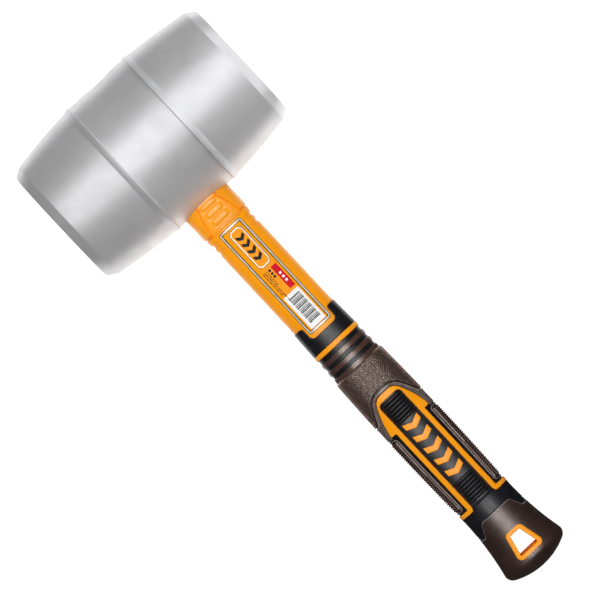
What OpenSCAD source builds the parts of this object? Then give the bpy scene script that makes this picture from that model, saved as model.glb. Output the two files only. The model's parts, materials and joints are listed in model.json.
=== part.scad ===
// Rubber mallet lying on its side, in millimetres, +Z up.
// The mallet is first laid out in its own axes and then tipped about the head until both the head's
// ribs and the butt touch the ground. In its own axes X runs from the middle of the head along the
// handle, Y runs along the head and Z comes out of the broad side of the handle.

/* [Head] */
// Length of the head, face to face
head_len = 123; // [110:1:140]
// Diameter of each flat striking face
face_d = 66.5; // [60:0.5:70]
// Diameter at the inner end of the edge chamfer
chamfer_d = 72.8; // [71:0.1:76]
// Length of the edge chamfer
chamfer_len = 5; // [3:0.5:7]
// Diameter of the taper where it meets a rib
taper_d = 81.2; // [78:0.1:81.5]
// Outward bow of the taper
taper_bow = 0.5; // [0.1:0.1:1]
// Largest diameter of the two ribs
rib_d = 84; // [83:0.5:88]
// Width of each rib
rib_w = 3.3; // [2:0.1:5]
// Fall of each rib towards the striking face
rib_fall = 0.6; // [0.2:0.1:0.8]
// Width of the plain band between the ribs
mid_len = 36.6; // [32:0.2:44]
// Diameter of the plain band
mid_d = 81.8; // [80:0.1:82.5]
// Diameter of the eye through the head
eye_d = 17; // [15:0.5:20]
// Length of the plug that closes the eye
plug_len = 6; // [4:0.5:10]

/* [Core and jacket] */
// Diameter of the fibreglass core
core_d = 13; // [10:0.5:14]
// Place along the handle where the core ends
core_end = 257; // [250:1:258]
// Width of the jacket
jacket_w = 26; // [25:0.2:27]
// Thickness of the jacket
jacket_t = 20; // [19:0.2:21]
// Place where the neck guard ends
guard_end = 56; // [50:0.5:57]
// Width of the neck guard
guard_w = 28; // [27:0.2:30]
// Thickness of the neck guard
guard_t = 22; // [21.5:0.1:24]
// Length of the jacket's spigot inside the guard
spigot_len = 12; // [6:0.5:13]

/* [Label] */
// Place where the label starts
label_start = 57; // [56.5:0.1:60]
// Length of the label
label_len = 67.5; // [40:0.5:68]
// Width of the label
label_w = 14.5; // [10:0.5:15]
// Thickness of the label
label_t = 0.3; // [0.2:0.05:0.5]

/* [Collar] */
// Place where the collar's side tabs start
collar_start = 119; // [117:0.5:121]
// Place where the collar's tongue ends
tongue_end = 127; // [125:0.5:129]
// Width of the tongue
tongue_w = 17; // [15:0.5:18]
// Place where the collar ends and the ring band starts
collar_end = 134.2; // [133:0.1:135]
// Place where the ring band ends
band_end = 136.8; // [136:0.1:138]

/* [Grip] */
// Width of the grip at its ring end
grip_ring_w = 27.6; // [27:0.1:29]
// Width of the grip where the plain sleeve starts
grip_sleeve_w = 30; // [29:0.1:31]
// Width of the grip at its fullest
grip_full_w = 31.5; // [31:0.1:33]
// Width of the grip at its tail
grip_tail_w = 29.9; // [29:0.1:31]
// Thickness of the grip at its ring end
grip_ring_t = 22.4; // [21.6:0.1:24]
// Thickness of the grip at its fullest
grip_full_t = 26.5; // [25:0.1:28]
// Thickness of the grip at its tail
grip_tail_t = 25; // [24:0.1:26]
// Place where the plain sleeve starts
sleeve_start = 151.5; // [150:0.5:153]
// Place where the sleeve ends
sleeve_end = 190.5; // [190:0.1:192]
// Thickness of the soft layer over the grip body
skin = 3; // [2:0.1:3.5]
// Number of grooves in the ring end
ring_grooves = 3; // [1:1:4]

/* [Frames, panels and pads] */
// Place where the frames start
frame_start = 170; // [168:0.5:172]
// Width across a frame's shoulders
frame_shoulder_w = 25.4; // [24:0.2:27]
// Place where a frame's shoulders end
frame_shoulder_end = 189.5; // [186:0.5:190]
// Width across the outside of a frame's bars
frame_w = 19.5; // [18:0.1:21]
// Width of each bar
frame_bar = 2.4; // [1.6:0.1:3]
// Width of the bar across a frame's front
frame_front_bar = 3.3; // [2.4:0.1:3.6]
// Place where the frames end
frame_end = 244; // [242:0.5:246]
// Number of chevrons in each motif
chevrons = 5; // [3:1:6]
// Place where the motif starts
motif_start = 188.5; // [186:0.5:190]
// Length of the motif
motif_len = 38; // [30:1:40]
// Width of the motif
motif_w = 10; // [6:0.5:11]
// Place where the side pads start
pad_start = 191.2; // [191:0.1:194]
// Place where the side pads end
pad_end = 240.5; // [236:0.5:241]
// Distance between the two side pads
pad_gap = 23.5; // [22:0.5:25]

/* [Butt] */
// Place where the butt cap's tongue starts
cap_tongue = 251; // [249:0.5:253]
// Place where the butt cap starts at the sides
cap_start = 258; // [256:0.5:259]
// Width of the butt cap at its widest
butt_w = 37.4; // [34:0.2:40]
// Thickness of the butt cap at its thickest
butt_t = 30; // [28:0.5:33]
// Place where the butt cap is widest
butt_full = 279.5; // [277:0.5:282]
// Radius of the butt cap's corners
butt_r = 5; // [3:0.5:6]
// Overall reach of the handle from the middle of the head
handle_end = 287.7; // [286:0.1:295]
// Place where the hang hole's liner starts
liner_start = 263.3; // [262.5:0.1:265]
// Length of the liner
liner_len = 16.1; // [14:0.1:17]
// Width of the liner at its narrow end
liner_narrow = 9.8; // [9:0.1:12]
// Width of the liner at its wide end
liner_wide = 17.2; // [14:0.1:19]
// Wall of the liner
liner_wall = 2.4; // [1.5:0.1:2.6]

/* [Hidden] */
$fn = 96;

orange = "#f59a0a";
black = "#1d1d1f";
brown = "#4b3a35";
grey = "#dcdcde";

reach = 70;           // half the size of the cutting blocks
steps = 10;           // points along each curved stretch of an outline
limit = 1.1;          // how far a bar's turned limit stands outside its half width
ring_step = 0.8;      // length of the step up from the rings to the plain sleeve
swell_end = 246;      // place where the grip's swell has faded out

plug_sink = 0.4;      // the plug lies a little below the head's surface
bond_end = 38;        // the bond stops inside the eye
core_start = plug_len - mid_d / 2;

spigot_w = 22;
spigot_t = 16;
seam_w = 0.5;         // seam lines beside the guard's shield
seam_depth = 0.5;
seam_near = 6;        // half width between the seams at the head, and at the far end
seam_far = 9.5;
ridge_places = [43.4, 47.4, 51.4];
ridge_w = 1.6;
ridge_depth = 0.6;
ridge_half = 5;

notch_places = [58.8, 63];
notch_w = 1.7;
notch_depth = 0.5;
notch_inner = 9;      // the notches keep off the middle of the broad sides by this half width

collar_near_w = 27;
collar_far_w = 28;
collar_rise = 0.8;    // how far the collar stands above the jacket's broad sides
tongue_r = 2.5;

groove_w = 1.7;       // grooves of the ring end
groove_depth = 0.9;
body_sink = 0.8;      // the grip body shows a little below the soft pieces
panel_sink = 1.2;     // the panels lie below the frames
bars_per_zone = 7;    // fine grooves at each end of a panel
bar_pitch = 1.9;
bar_groove_w = 0.9;
bar_groove_depth = 0.6;
bar_zones = [174.6, 228.4];
pad_groove_pitch = 3.4;
pad_groove_w = 1.2;
pad_groove_depth = 0.7;
pad_rim = 2;
foot_w = 2.3;         // feet of the frames, which turn out to the handle's sides
front_flat = 2.6;     // half width of the straight stretch across a frame's front
front_r = 5.5;        // corners beside it, and the angle that each turns through
front_turn = 62;
window_r = 1.5;
chevron_bar = 3.4;
panel_top = grip_full_t / 2 - panel_sink;
body_end = 261;       // the grip body's plug reaches this far into the butt cap
cap_near = 8;         // half widths of the butt cap's tongue at its two ends
cap_shoulder = 12.5;

// Radius of the crowned end that runs smoothly into the corner at half height h
function end_radius(h) =
    let(d = handle_end - butt_full)
    (d * d + pow(h - butt_r, 2) - butt_r * butt_r) / (2 * (d - butt_r));

// Angle at which the corner runs into the crowned end
function join_angle(h) = atan2(h - butt_r, butt_full - handle_end + end_radius(h));

function lerp(a, b, t) = a + (b - a) * t;

// The handle's tip about the head, which brings the butt's corner down to the level of the ribs
butt_z = butt_t / 2 - butt_r;
tip = asin((rib_d / 2 - butt_r) / norm([butt_full, butt_z])) - atan2(butt_z, butt_full);

// Middle of the tipped mallet's length
end_r = end_radius(butt_t / 2);
x_max = (handle_end - end_r) * cos(tip) + end_r;
x_mid = (x_max - rib_d / 2) / 2;

// Half outline of the grip in one plane, from the collar to the middle of the butt's end. h holds
// the half heights at the ring end, sleeve, fullest point, tail and butt, and inset shrinks it all.
function grip_half(h, inset) =
    let(r = butt_r - inset,
        big = end_radius(h[4]),
        join = join_angle(h[4]),
        half = steps / 2)
    concat(
        [[collar_end, h[0] - inset], [sleeve_start, lerp(h[0], h[1], 0.4) - inset]],
        [for (i = [0:steps])
            let(t = i / steps, swell = 1 - pow(2 * t - 1, 2))
            [lerp(sleeve_start + ring_step, swell_end, t),
             lerp(lerp(h[1], h[3], t), h[2], swell) - inset]],
        [for (i = [1:steps])
            let(t = i / steps)
            [lerp(swell_end, butt_full, t), lerp(h[3], h[4], t * t) - inset]],
        [for (i = [1:half])
            let(a = lerp(90, join, i / half))
            [butt_full + r * cos(a), h[4] - butt_r + r * sin(a)]],
        [for (i = [1:half])
            let(a = lerp(join, 0, i / half))
            [handle_end - big + (big - inset) * cos(a), (big - inset) * sin(a)]]);

// Closed outline from a half outline and its mirror image
function both_sides(half) =
    concat(half, [for (i = [len(half) - 1:-1:0]) if (half[i][1] > 0) [half[i][0], -half[i][1]]]);

// Half outline turned about the X axis, as radius and place along it. It ends in a small flat, so
// that the two flat outlines alone shape the very end.
function turned(half) =
    let(wide = [for (p = half) if (p[1] > limit) [p[1] + limit, p[0]]],
        last = wide[len(wide) - 1])
    concat([[0, wide[0][1]]], wide, [[last[0], handle_end + limit], [0, handle_end + limit]]);

// Solid with a plan outline, a side outline and long edges rounded by a turned limit
module bar(plan, side) {
    intersection() {
        linear_extrude(2 * reach, center = true) polygon(both_sides(plan));
        rotate([90, 0, 0]) linear_extrude(2 * reach, center = true) polygon(both_sides(side));
        rotate([0, 90, 0]) rotate_extrude() polygon(turned(plan));
    }
}

// Bar that tapers evenly from w0 to w1 in width, with a thickness of t
module even_bar(x0, x1, w0, w1, t) {
    bar([[x0, w0 / 2], [x1, w1 / 2]], [[x0, t / 2], [x1, t / 2]]);
}

module grip_shape(inset) {
    bar(grip_half([grip_ring_w, grip_sleeve_w, grip_full_w, grip_tail_w, butt_w] / 2, inset),
        grip_half([grip_ring_t, grip_full_t - 1, grip_full_t, grip_tail_t, butt_t] / 2, inset));
}

// Everything between two places along the handle
module span(x0, x1) {
    translate([x0, -reach, -reach]) cube([x1 - x0, 2 * reach, 2 * reach]);
}

// Plan outline carried through the front half (side 1), the back half (side -1) or both (side 0)
module through(side = 0) {
    translate([0, 0, side == 1 ? 0 : -reach])
        linear_extrude(side == 0 ? 2 * reach : reach) children();
}

module rod(x0, x1, d) {
    translate([x0, 0, 0]) rotate([0, 90, 0]) cylinder(h = x1 - x0, d = d);
}

module head_barrel(d) {
    rotate([90, 0, 0]) cylinder(h = head_len, d = d, center = true);
}

// From the mallet's own axes to the way it lies on the ground
module lying() {
    translate([-x_mid, 0, rib_d / 2]) rotate([0, tip, 0]) children();
}

// One half of the head's outline, as radius and distance from its middle
function head_half() =
    let(rib_y = mid_len / 2 + rib_w)
    concat(
        [[0, head_len / 2], [face_d / 2, head_len / 2]],
        [for (i = [0:steps])
            let(t = i / steps, bow = taper_bow * (1 - pow(2 * t - 1, 2)))
            [lerp(chamfer_d, taper_d, t) / 2 + bow, lerp(head_len / 2 - chamfer_len, rib_y, t)]],
        [[rib_d / 2 - rib_fall, rib_y], [rib_d / 2, mid_len / 2], [mid_d / 2, mid_len / 2]]);

module rubber_head() {
    half = head_half();
    outline = concat(half, [for (i = [len(half) - 1:-1:0]) [half[i][0], -half[i][1]]]);
    color(grey) lying() difference() {
        rotate([-90, 0, 0]) rotate_extrude() polygon(outline);
        rod(-reach, reach, eye_d);
    }
}

module eye_plug() {
    color(grey) lying() intersection() {
        rod(-mid_d / 2, core_start, eye_d);
        head_barrel(mid_d - 2 * plug_sink);
    }
}

module epoxy_bond() {
    color("wheat") lying() difference() {
        rod(core_start, bond_end, eye_d);
        rod(core_start - 1, bond_end + 1, core_d);
    }
}

module fibreglass_core() {
    color("ivory") lying() rod(core_start, core_end, core_d);
}

// Seam line beside the guard's shield, turning out to the side at its far end
module seam_outline() {
    far = guard_end - 1.4;
    polygon([[mid_d / 2 - 4, seam_near], [far - 1, seam_far], [far, seam_far + 1], [far, guard_w],
             [far - seam_w, guard_w], [far - seam_w, seam_far + 1], [far - 1 - seam_w, seam_far + seam_w],
             [mid_d / 2 - 4, seam_near + seam_w]]);
}

module neck_guard() {
    color(orange) lying() difference() {
        even_bar(0, guard_end, guard_w, guard_w, guard_t);
        head_barrel(mid_d);
        rod(0, guard_end, core_d);
        even_bar(guard_end - spigot_len, guard_end + 1, spigot_w, spigot_w, spigot_t);
        for (x = ridge_places, side = [-1, 1])
            translate([x, -ridge_half, side * guard_t / 2 - ridge_depth])
                cube([ridge_w, 2 * ridge_half, 2 * ridge_depth]);
        difference() {
            through() {
                seam_outline();
                mirror([0, 1]) seam_outline();
            }
            even_bar(0, guard_end + 1, guard_w - 2 * seam_depth, guard_w - 2 * seam_depth,
                     guard_t - 2 * seam_depth);
        }
    }
}

module jacket_shape(inset = 0) {
    even_bar(guard_end, band_end, jacket_w - 2 * inset, jacket_w - 2 * inset, jacket_t - 2 * inset);
}

module shaft_jacket() {
    color(orange) lying() difference() {
        union() {
            jacket_shape();
            even_bar(guard_end - spigot_len, guard_end, spigot_w, spigot_w, spigot_t);
        }
        rod(0, handle_end, core_d);
        for (x = notch_places)
            difference() {
                span(x, x + notch_w);
                jacket_shape(notch_depth);
                cube([handle_end, 2 * notch_inner, 2 * reach], center = true);
            }
    }
}

module rounded_plate(len, w, r) {
    for (x = [r, len - r], y = [r - w / 2, w / 2 - r]) translate([x, y]) circle(r);
    translate([r, -w / 2]) square([len - 2 * r, w]);
    translate([0, r - w / 2]) square([len, w - 2 * r]);
}

module label_front() {
    color("khaki") lying() translate([label_start, 0, jacket_t / 2])
        linear_extrude(label_t) rounded_plate(label_len, label_w, 1.3);
}

module shaft_collar() {
    color(black) lying() difference() {
        even_bar(collar_start, collar_end, collar_near_w, collar_far_w, jacket_t + 2 * collar_rise);
        jacket_shape();
        through() translate([tongue_end - 2 * reach, 0]) rounded_plate(2 * reach, tongue_w, tongue_r);
    }
}

module ring_band() {
    color(orange) lying() difference() {
        intersection() {
            grip_shape(0);
            span(collar_end, band_end);
        }
        jacket_shape();
    }
}

// Half outline of a frame's shoulders: a corner, then one long arc that leaves it smoothly
function shoulder_half() =
    let(rise = 90 - front_turn,
        centre = [frame_start + front_r, front_flat],
        from = centre + front_r * [-sin(rise), cos(rise)],
        chord = [frame_shoulder_end, frame_shoulder_w / 2] - from,
        sweep = 2 * (rise - atan2(chord[1], chord[0])),
        r = norm(chord) / (2 * sin(sweep / 2)),
        mid = from + r * [sin(rise), -cos(rise)])
    concat(
        [for (i = [0:steps]) let(a = 180 - front_turn * i / steps) centre + front_r * [cos(a), sin(a)]],
        [for (i = [1:steps]) let(a = 90 + rise - sweep * i / steps) mid + r * [cos(a), sin(a)]]);

// Plan outline of a frame with its window filled
module frame_outline() {
    foot_x = frame_end - foot_w;
    polygon(both_sides(concat(
        shoulder_half(),
        [[frame_shoulder_end, frame_w / 2], [foot_x, frame_w / 2], [foot_x, reach], [frame_end, reach]])));
}

module window_outline() {
    translate([frame_start + frame_front_bar, 0])
        rounded_plate(frame_end - frame_start, frame_w - 2 * frame_bar, window_r);
}

module frame(side) {
    color(orange) lying() intersection() {
        difference() {
            grip_shape(0);
            grip_shape(skin);
        }
        through(side) difference() {
            frame_outline();
            window_outline();
        }
    }
}

module panel(side) {
    color(black) lying() difference() {
        intersection() {
            difference() {
                grip_shape(panel_sink);
                grip_shape(skin);
            }
            span(frame_start, frame_end);
            through(side) window_outline();
        }
        for (x = bar_zones, i = [0:bars_per_zone - 1])
            translate([x + i * bar_pitch, -reach, side * panel_top - bar_groove_depth])
                cube([bar_groove_w, 2 * reach, 2 * bar_groove_depth]);
    }
}

module chevron() {
    half = motif_w / 2;
    tip_x = motif_len / chevrons - chevron_bar;
    polygon([[0, -half], [chevron_bar, -half], [chevron_bar + tip_x / 2, 0], [chevron_bar, half],
             [0, half], [tip_x / 2, 0]]);
}

module motif(side) {
    color(orange) lying() intersection() {
        difference() {
            grip_shape(0);
            grip_shape(panel_sink);
        }
        through(side) for (i = [0:chevrons - 1])
            translate([motif_start + i * motif_len / chevrons, 0]) chevron();
    }
}

module pad_outline(side) {
    translate([pad_start, side == 1 ? pad_gap / 2 : -reach])
        square([pad_end - pad_start, reach - pad_gap / 2]);
}

module side_pad(side) {
    color(brown) lying() difference() {
        intersection() {
            difference() {
                grip_shape(0);
                grip_shape(skin);
            }
            through() pad_outline(side);
        }
        difference() {
            for (x = [pad_start + pad_rim:pad_groove_pitch:pad_end - pad_rim - pad_groove_w])
                translate([x, side == 1 ? pad_gap / 2 + pad_rim : -reach - pad_rim, -reach])
                    cube([pad_groove_w, reach - pad_gap / 2, 2 * reach]);
            grip_shape(pad_groove_depth);
        }
    }
}

// Plan outline of the butt cap's region, with its tongue on the broad sides
module cap_outline() {
    polygon([[handle_end + 1, -reach], [cap_start, -reach], [cap_start, -cap_shoulder],
             [cap_tongue, -cap_near], [cap_tongue, cap_near], [cap_start, cap_shoulder],
             [cap_start, reach], [handle_end + 1, reach]]);
}

module grip_body() {
    color(black) lying() difference() {
        union() {
            intersection() {
                grip_shape(skin);
                span(band_end, body_end);
            }
            intersection() {
                grip_shape(body_sink);
                span(sleeve_end, frame_end);
            }
            intersection() {
                grip_shape(0);
                span(frame_end, cap_start);
            }
        }
        rod(0, core_end, core_d);
        difference() {
            through() {
                intersection() {
                    frame_outline();
                    translate([0, -reach]) square([frame_end, 2 * reach]);
                }
                intersection() {
                    window_outline();
                    translate([0, -reach]) square([frame_end, 2 * reach]);
                }
                pad_outline(1);
                pad_outline(-1);
                cap_outline();
            }
            grip_shape(skin);
        }
    }
}

module grip_sleeve() {
    color(brown) lying() difference() {
        intersection() {
            grip_shape(0);
            span(band_end, sleeve_end);
        }
        grip_shape(skin);
        difference() {
            for (i = [0:ring_grooves - 1])
                translate([(i + 0.5) * (sleeve_start - band_end) / ring_grooves, 0, 0])
                    span(band_end - groove_w / 2, band_end + groove_w / 2);
            grip_shape(groove_depth);
        }
        through() {
            frame_outline();
            window_outline();
        }
    }
}

module liner_outline(inset) {
    polygon([[liner_start + inset, -liner_narrow / 2 + inset * 0.9],
             [liner_start + liner_len - inset, -liner_wide / 2 + inset * 1.1],
             [liner_start + liner_len - inset, liner_wide / 2 - inset * 1.1],
             [liner_start + inset, liner_narrow / 2 - inset * 0.9]]);
}

module butt_cap() {
    color(brown) lying() difference() {
        intersection() {
            grip_shape(0);
            through() cap_outline();
        }
        intersection() {
            grip_shape(skin);
            span(0, body_end);
        }
        through() liner_outline(0);
    }
}

module hole_liner() {
    color(orange) lying() intersection() {
        grip_shape(0);
        through() difference() {
            liner_outline(0);
            liner_outline(liner_wall);
        }
    }
}

rubber_head();
eye_plug();
epoxy_bond();
fibreglass_core();
neck_guard();
shaft_jacket();
label_front();
shaft_collar();
ring_band();
grip_body();
grip_sleeve();
frame(1);  // frame_front
frame(-1);  // frame_back
panel(1);  // panel_front
panel(-1);  // panel_back
motif(1);  // motif_front
motif(-1);  // motif_back
side_pad(1);  // side_pad_left
side_pad(-1);  // side_pad_right
butt_cap();
hole_liner();
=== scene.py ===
"""Rubber mallet: the visible pieces, their finishes and the studio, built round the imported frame."""

import json
import math

import bmesh
import bpy
import numpy as np
from bpy.props import FloatProperty, FloatVectorProperty, IntProperty, PointerProperty
from mathutils import Matrix, Vector, geometry


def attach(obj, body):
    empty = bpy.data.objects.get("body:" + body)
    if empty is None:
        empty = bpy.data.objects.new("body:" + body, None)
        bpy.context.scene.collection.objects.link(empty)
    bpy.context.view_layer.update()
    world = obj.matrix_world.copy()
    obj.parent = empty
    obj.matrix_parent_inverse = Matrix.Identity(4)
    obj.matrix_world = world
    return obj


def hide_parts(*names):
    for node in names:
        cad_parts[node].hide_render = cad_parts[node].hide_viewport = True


bl_info = {
    "name": "Rubber Mallet",
    "version": (1, 0, 0),
    "blender": (4, 5, 0),
    "location": "View3D > Sidebar > Mallet",
    "description": "Builds a barrel-headed rubber mallet with a soft two-colour grip",
    "category": "Add Mesh",
}

MM = 0.001
BODY = "root"

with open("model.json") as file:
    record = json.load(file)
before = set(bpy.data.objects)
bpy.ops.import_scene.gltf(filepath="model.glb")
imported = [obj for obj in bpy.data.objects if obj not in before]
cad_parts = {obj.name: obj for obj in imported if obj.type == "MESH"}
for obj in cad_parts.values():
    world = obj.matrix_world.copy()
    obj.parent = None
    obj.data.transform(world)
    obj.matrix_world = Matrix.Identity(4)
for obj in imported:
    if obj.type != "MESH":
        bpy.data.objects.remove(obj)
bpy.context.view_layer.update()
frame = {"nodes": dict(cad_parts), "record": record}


# ---------------------------------------------------------------- places taken from the frame


def mount(name):
    """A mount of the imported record."""
    return next(m for m in frame["record"]["mounts"] if m["name"] == name)


FACE_LEFT = Vector(mount("strike_face_left")["pos_m"])
FACE_RIGHT = Vector(mount("strike_face_right")["pos_m"])
HEAD_CENTRE = (FACE_LEFT + FACE_RIGHT) / 2
HOLE_AXIS = Vector(mount("hang_hole")["axis"])
LEAN = math.atan2(HOLE_AXIS.x, HOLE_AXIS.z)

# The mallet's own axes: X from the head along the handle, Y along the head, Z out of the label side.
LYING = Matrix.Translation(HEAD_CENTRE) @ Matrix.Rotation(LEAN, 4, "Y")


def own_box(node):
    """Lowest and highest corner of a CAD node in the mallet's own axes."""
    mesh = frame["nodes"][node].data
    places = np.empty(len(mesh.vertices) * 3)
    mesh.vertices.foreach_get("co", places)
    places = places.reshape(-1, 3)
    back = np.array(LYING.inverted())
    places = places @ back[:3, :3].T + back[:3, 3]
    return Vector(places.min(0)), Vector(places.max(0))


HEAD = own_box("rubber_head")
PLUG = own_box("eye_plug")
GUARD = own_box("neck_guard")
JACKET = own_box("shaft_jacket")
LABEL = own_box("label_front")
COLLAR = own_box("shaft_collar")
BAND = own_box("ring_band")
SLEEVE = own_box("grip_sleeve")
FRAME = own_box("frame_front")
PANEL = own_box("panel_front")
MOTIF = own_box("motif_front")
PAD = own_box("side_pad_left")
CAP = own_box("butt_cap")
LINER = own_box("hole_liner")


# ---------------------------------------------------------------- settings


def length(name, description, default):
    """A length that a user would change, in metres."""
    return FloatProperty(name=name, description=description, default=default, min=0.0,
                         subtype="DISTANCE", unit="LENGTH", precision=5)


def colour(name, description, default):
    """A linear colour that a user would change."""
    return FloatVectorProperty(name=name, description=description, default=default, size=3,
                               min=0.0, max=1.0, subtype="COLOR")


def number(name, description, default, low=0.0, high=1000.0):
    """A plain number that a user would change."""
    return FloatProperty(name=name, description=description, default=default, min=low, max=high)


class MalletHeadShape(bpy.types.PropertyGroup):
    """Sizes of the rubber head."""

    face_d: length("Face diameter", "Diameter of each flat striking face", 66.5 * MM)
    chamfer_d: length("Chamfer diameter", "Diameter where the edge chamfer ends", 72.8 * MM)
    chamfer: length("Chamfer length", "Length of the edge chamfer", 5 * MM)
    taper_d: length("Taper diameter", "Diameter of the taper beside a rib", 81.2 * MM)
    taper_bow: length("Taper bow", "Outward bow of the taper", 0.5 * MM)
    rib_w: length("Rib width", "Width of each rib", 3.3 * MM)
    rib_fall: length("Rib fall", "Fall of each rib towards its striking face", 1.3 * MM)
    band_w: length("Band width", "Width of the plain band between the ribs", 36.6 * MM)
    band_d: length("Band diameter", "Diameter of the plain band", 81.8 * MM)
    fillet: length("Fillet", "Rounding of the head's moulded edges", 0.25 * MM)
    segments: IntProperty(name="Segments", description="Steps round the head", default=288, min=64)


class MalletShaftShape(bpy.types.PropertyGroup):
    """Sizes of the jacket, guard and collar."""

    squareness: number("Squareness", "How square the shaft's section is; 2 is an ellipse", 2.6, 2, 8)
    seam_near: length("Seam at the head", "Half width between the guard's seams at the head", 6 * MM)
    seam_far: length("Seam at the shaft", "Half width between the seams at the shaft", 9.5 * MM)
    notch_pitch: length("Notch pitch", "Distance between the jacket's side notches", 4.2 * MM)
    notch_w: length("Notch width", "Width of each side notch", 1.8 * MM)
    notch_depth: length("Notch depth", "Depth of each side notch", 0.55 * MM)
    tongue_w: length("Tongue width", "Width of the jacket's tongue into the collar", 17 * MM)
    tongue_end: length("Tongue end", "Place where the tongue ends", 127 * MM)
    tongue_r: length("Tongue corner", "Radius of the tongue's corners", 2.6 * MM)
    seam_w: length("Seam width", "Width of the guard's seams", 0.7 * MM)
    seam_depth: length("Seam depth", "Depth of the guard's seams", 1.2 * MM)
    ridge_h: length("Ridge height", "Height of the guard's cross ridges", 0.95 * MM)
    ridge_pitch: length("Ridge pitch", "Distance between the guard's cross ridges", 4.6 * MM)
    ridge_half: length("Ridge half length", "Half length of each ridge at its full height", 3.6 * MM)
    shield_h: length("Shield height", "Height of the shield between the guard's seams", 0.25 * MM)
    lip_depth: length("Lip depth", "How far the guard's end drops to meet the jacket", 0.45 * MM)
    collar_near_w: length("Collar width", "Width of the collar at its tabs", 27 * MM)


class MalletGripShape(bpy.types.PropertyGroup):
    """Sizes of the grip and the butt."""

    squareness: number("Squareness", "How square the grip's section is; 2 is an ellipse", 2.25, 2, 8)
    sleeve_w: length("Sleeve width", "Width where the plain sleeve starts", 30 * MM)
    ring_step: length("Ring step", "Length of the step up to the plain sleeve", 0.8 * MM)
    full_w: length("Full width", "Width at the fullest point of the swell", 31.5 * MM)
    full_t: length("Full thickness", "Thickness at the fullest point of the swell", 26.5 * MM)
    tail_w: length("Tail width", "Width at the tail", 29.9 * MM)
    tail_t: length("Tail thickness", "Thickness at the tail", 25 * MM)
    sleeve_start: length("Sleeve start", "Place where the plain sleeve starts", 151.5 * MM)
    swell_end: length("Swell end", "Place where the swell has faded out", 246 * MM)
    butt_full: length("Butt place", "Place where the butt is widest", 279.5 * MM)
    butt_r: length("Butt corner", "Radius of the butt's corners", 5 * MM)
    rings: IntProperty(name="Rings", description="Grooves in the ring end", default=3, min=1)
    ring_depth: length("Ring depth", "Depth of each groove", 1.4 * MM)
    ring_phase: number("Ring phase", "Place of each groove in its share of the ring end", 0.3, 0, 1)
    ring_base: length("Ring base", "Depth of the hard body that shows in the grooves", 0.55 * MM)
    bead_w: length("Bead width", "Width of the thin beads", 0.6 * MM)
    bead_h: length("Bead height", "Height of the thin beads", 0.4 * MM)
    arch_gap: length("Arch gap", "Distance from the saddle's bead to a frame's front", 1.85 * MM)
    arch_gain: length("Arch gain", "How much that distance grows towards the shoulders", 1.4 * MM)
    arch_side: length("Arch at the sides", "Place where the saddle starts at the narrow sides", 182 * MM)
    front_flat: length("Front flat", "Half width of the straight stretch across a front", 2.6 * MM)
    front_r: length("Front corner", "Radius of the corners beside it", 5.5 * MM)
    front_turn: FloatProperty(name="Front turn", description="Angle that each corner turns through",
                              default=math.radians(62), subtype="ANGLE", unit="ROTATION")
    shoulder_w: length("Shoulder width", "Width across a frame's shoulders", 25.4 * MM)
    frame_w: length("Frame width", "Width across the outside of a frame's bars", 19.5 * MM)
    bar: length("Bar width", "Width of each bar of a frame", 2.4 * MM)
    front_bar: length("Front bar", "Width of the bar across a frame's front", 3.3 * MM)
    shoulder_end: length("Shoulder end", "Place where a frame's shoulders end", 189.5 * MM)
    foot_w: length("Foot width", "Width of a frame's feet", 2.3 * MM)
    window_r: length("Window corner", "Radius of the window's front corners", 2.6 * MM)
    bars_per_zone: IntProperty(name="Panel bars", description="Bars at each end of a panel", default=7)
    bar_pitch: length("Panel pitch", "Distance between the bars of a panel", 1.9 * MM)
    bar_h: length("Panel bar height", "Height of the bars of a panel", 0.9 * MM)
    panel_sink: length("Panel depth", "Depth of the panels below the frames", 1.2 * MM)
    body_sink: length("Channel depth", "Depth of the channels beside the frames", 0.8 * MM)
    chevron_bar: length("Chevron bar", "Length of each chevron along its edges", 3.4 * MM)
    chevrons: IntProperty(name="Chevrons", description="Chevrons in each motif", default=5, min=1)
    pad_pitch: length("Pad pitch", "Distance between the ribs of a side pad", 1.2 * MM)
    pad_depth: length("Pad depth", "Depth of the grooves between a side pad's rail and its ribs", 0.95 * MM)
    pad_rail: length("Pad rail", "Height of the rail beside the ribs", 0.75 * MM)
    pad_field: length("Pad field", "Middle height of the ribs", 0.7 * MM)
    pad_rib: length("Pad rib", "Half the height of the ribs of a side pad", 0.35 * MM)
    cap_near: length("Cap tongue", "Half width of the butt cap's tongue at its tip", 9.2 * MM)
    cap_shoulder: length("Cap shoulder", "Half width of the tongue at its root", 12.5 * MM)
    cap_start: length("Cap start", "Place where the butt cap starts at the sides", 258 * MM)
    liner_narrow: length("Liner narrow end", "Width of the hole's liner at its narrow end", 9.8 * MM)
    liner_wall: length("Liner wall", "Wall of the hole's liner", 2.35 * MM)


class MalletFinish(bpy.types.PropertyGroup):
    """Colours of the mallet."""

    head: colour("Head", "Rubber of the head", (0.6, 0.6, 0.61))
    head_sheen: number("Head sheen", "How metallic the head's satin skin looks", 0.45, 0, 1)
    orange: colour("Orange", "Moulded orange plastic", (0.96, 0.335, 0.002))
    black: colour("Black", "Moulded black plastic", (0.006, 0.006, 0.008))
    brown: colour("Brown", "Soft grip rubber", (0.024, 0.011, 0.008))
    silver: colour("Silver", "Foil of the label's border", (0.58, 0.54, 0.45))
    red: colour("Red", "Tag of the label", (0.62, 0.004, 0.018))
    resin: colour("Resin", "Epoxy of the bond", (0.62, 0.44, 0.16))
    glass: colour("Glass fibre", "Rod of the core", (0.74, 0.70, 0.52))


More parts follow.
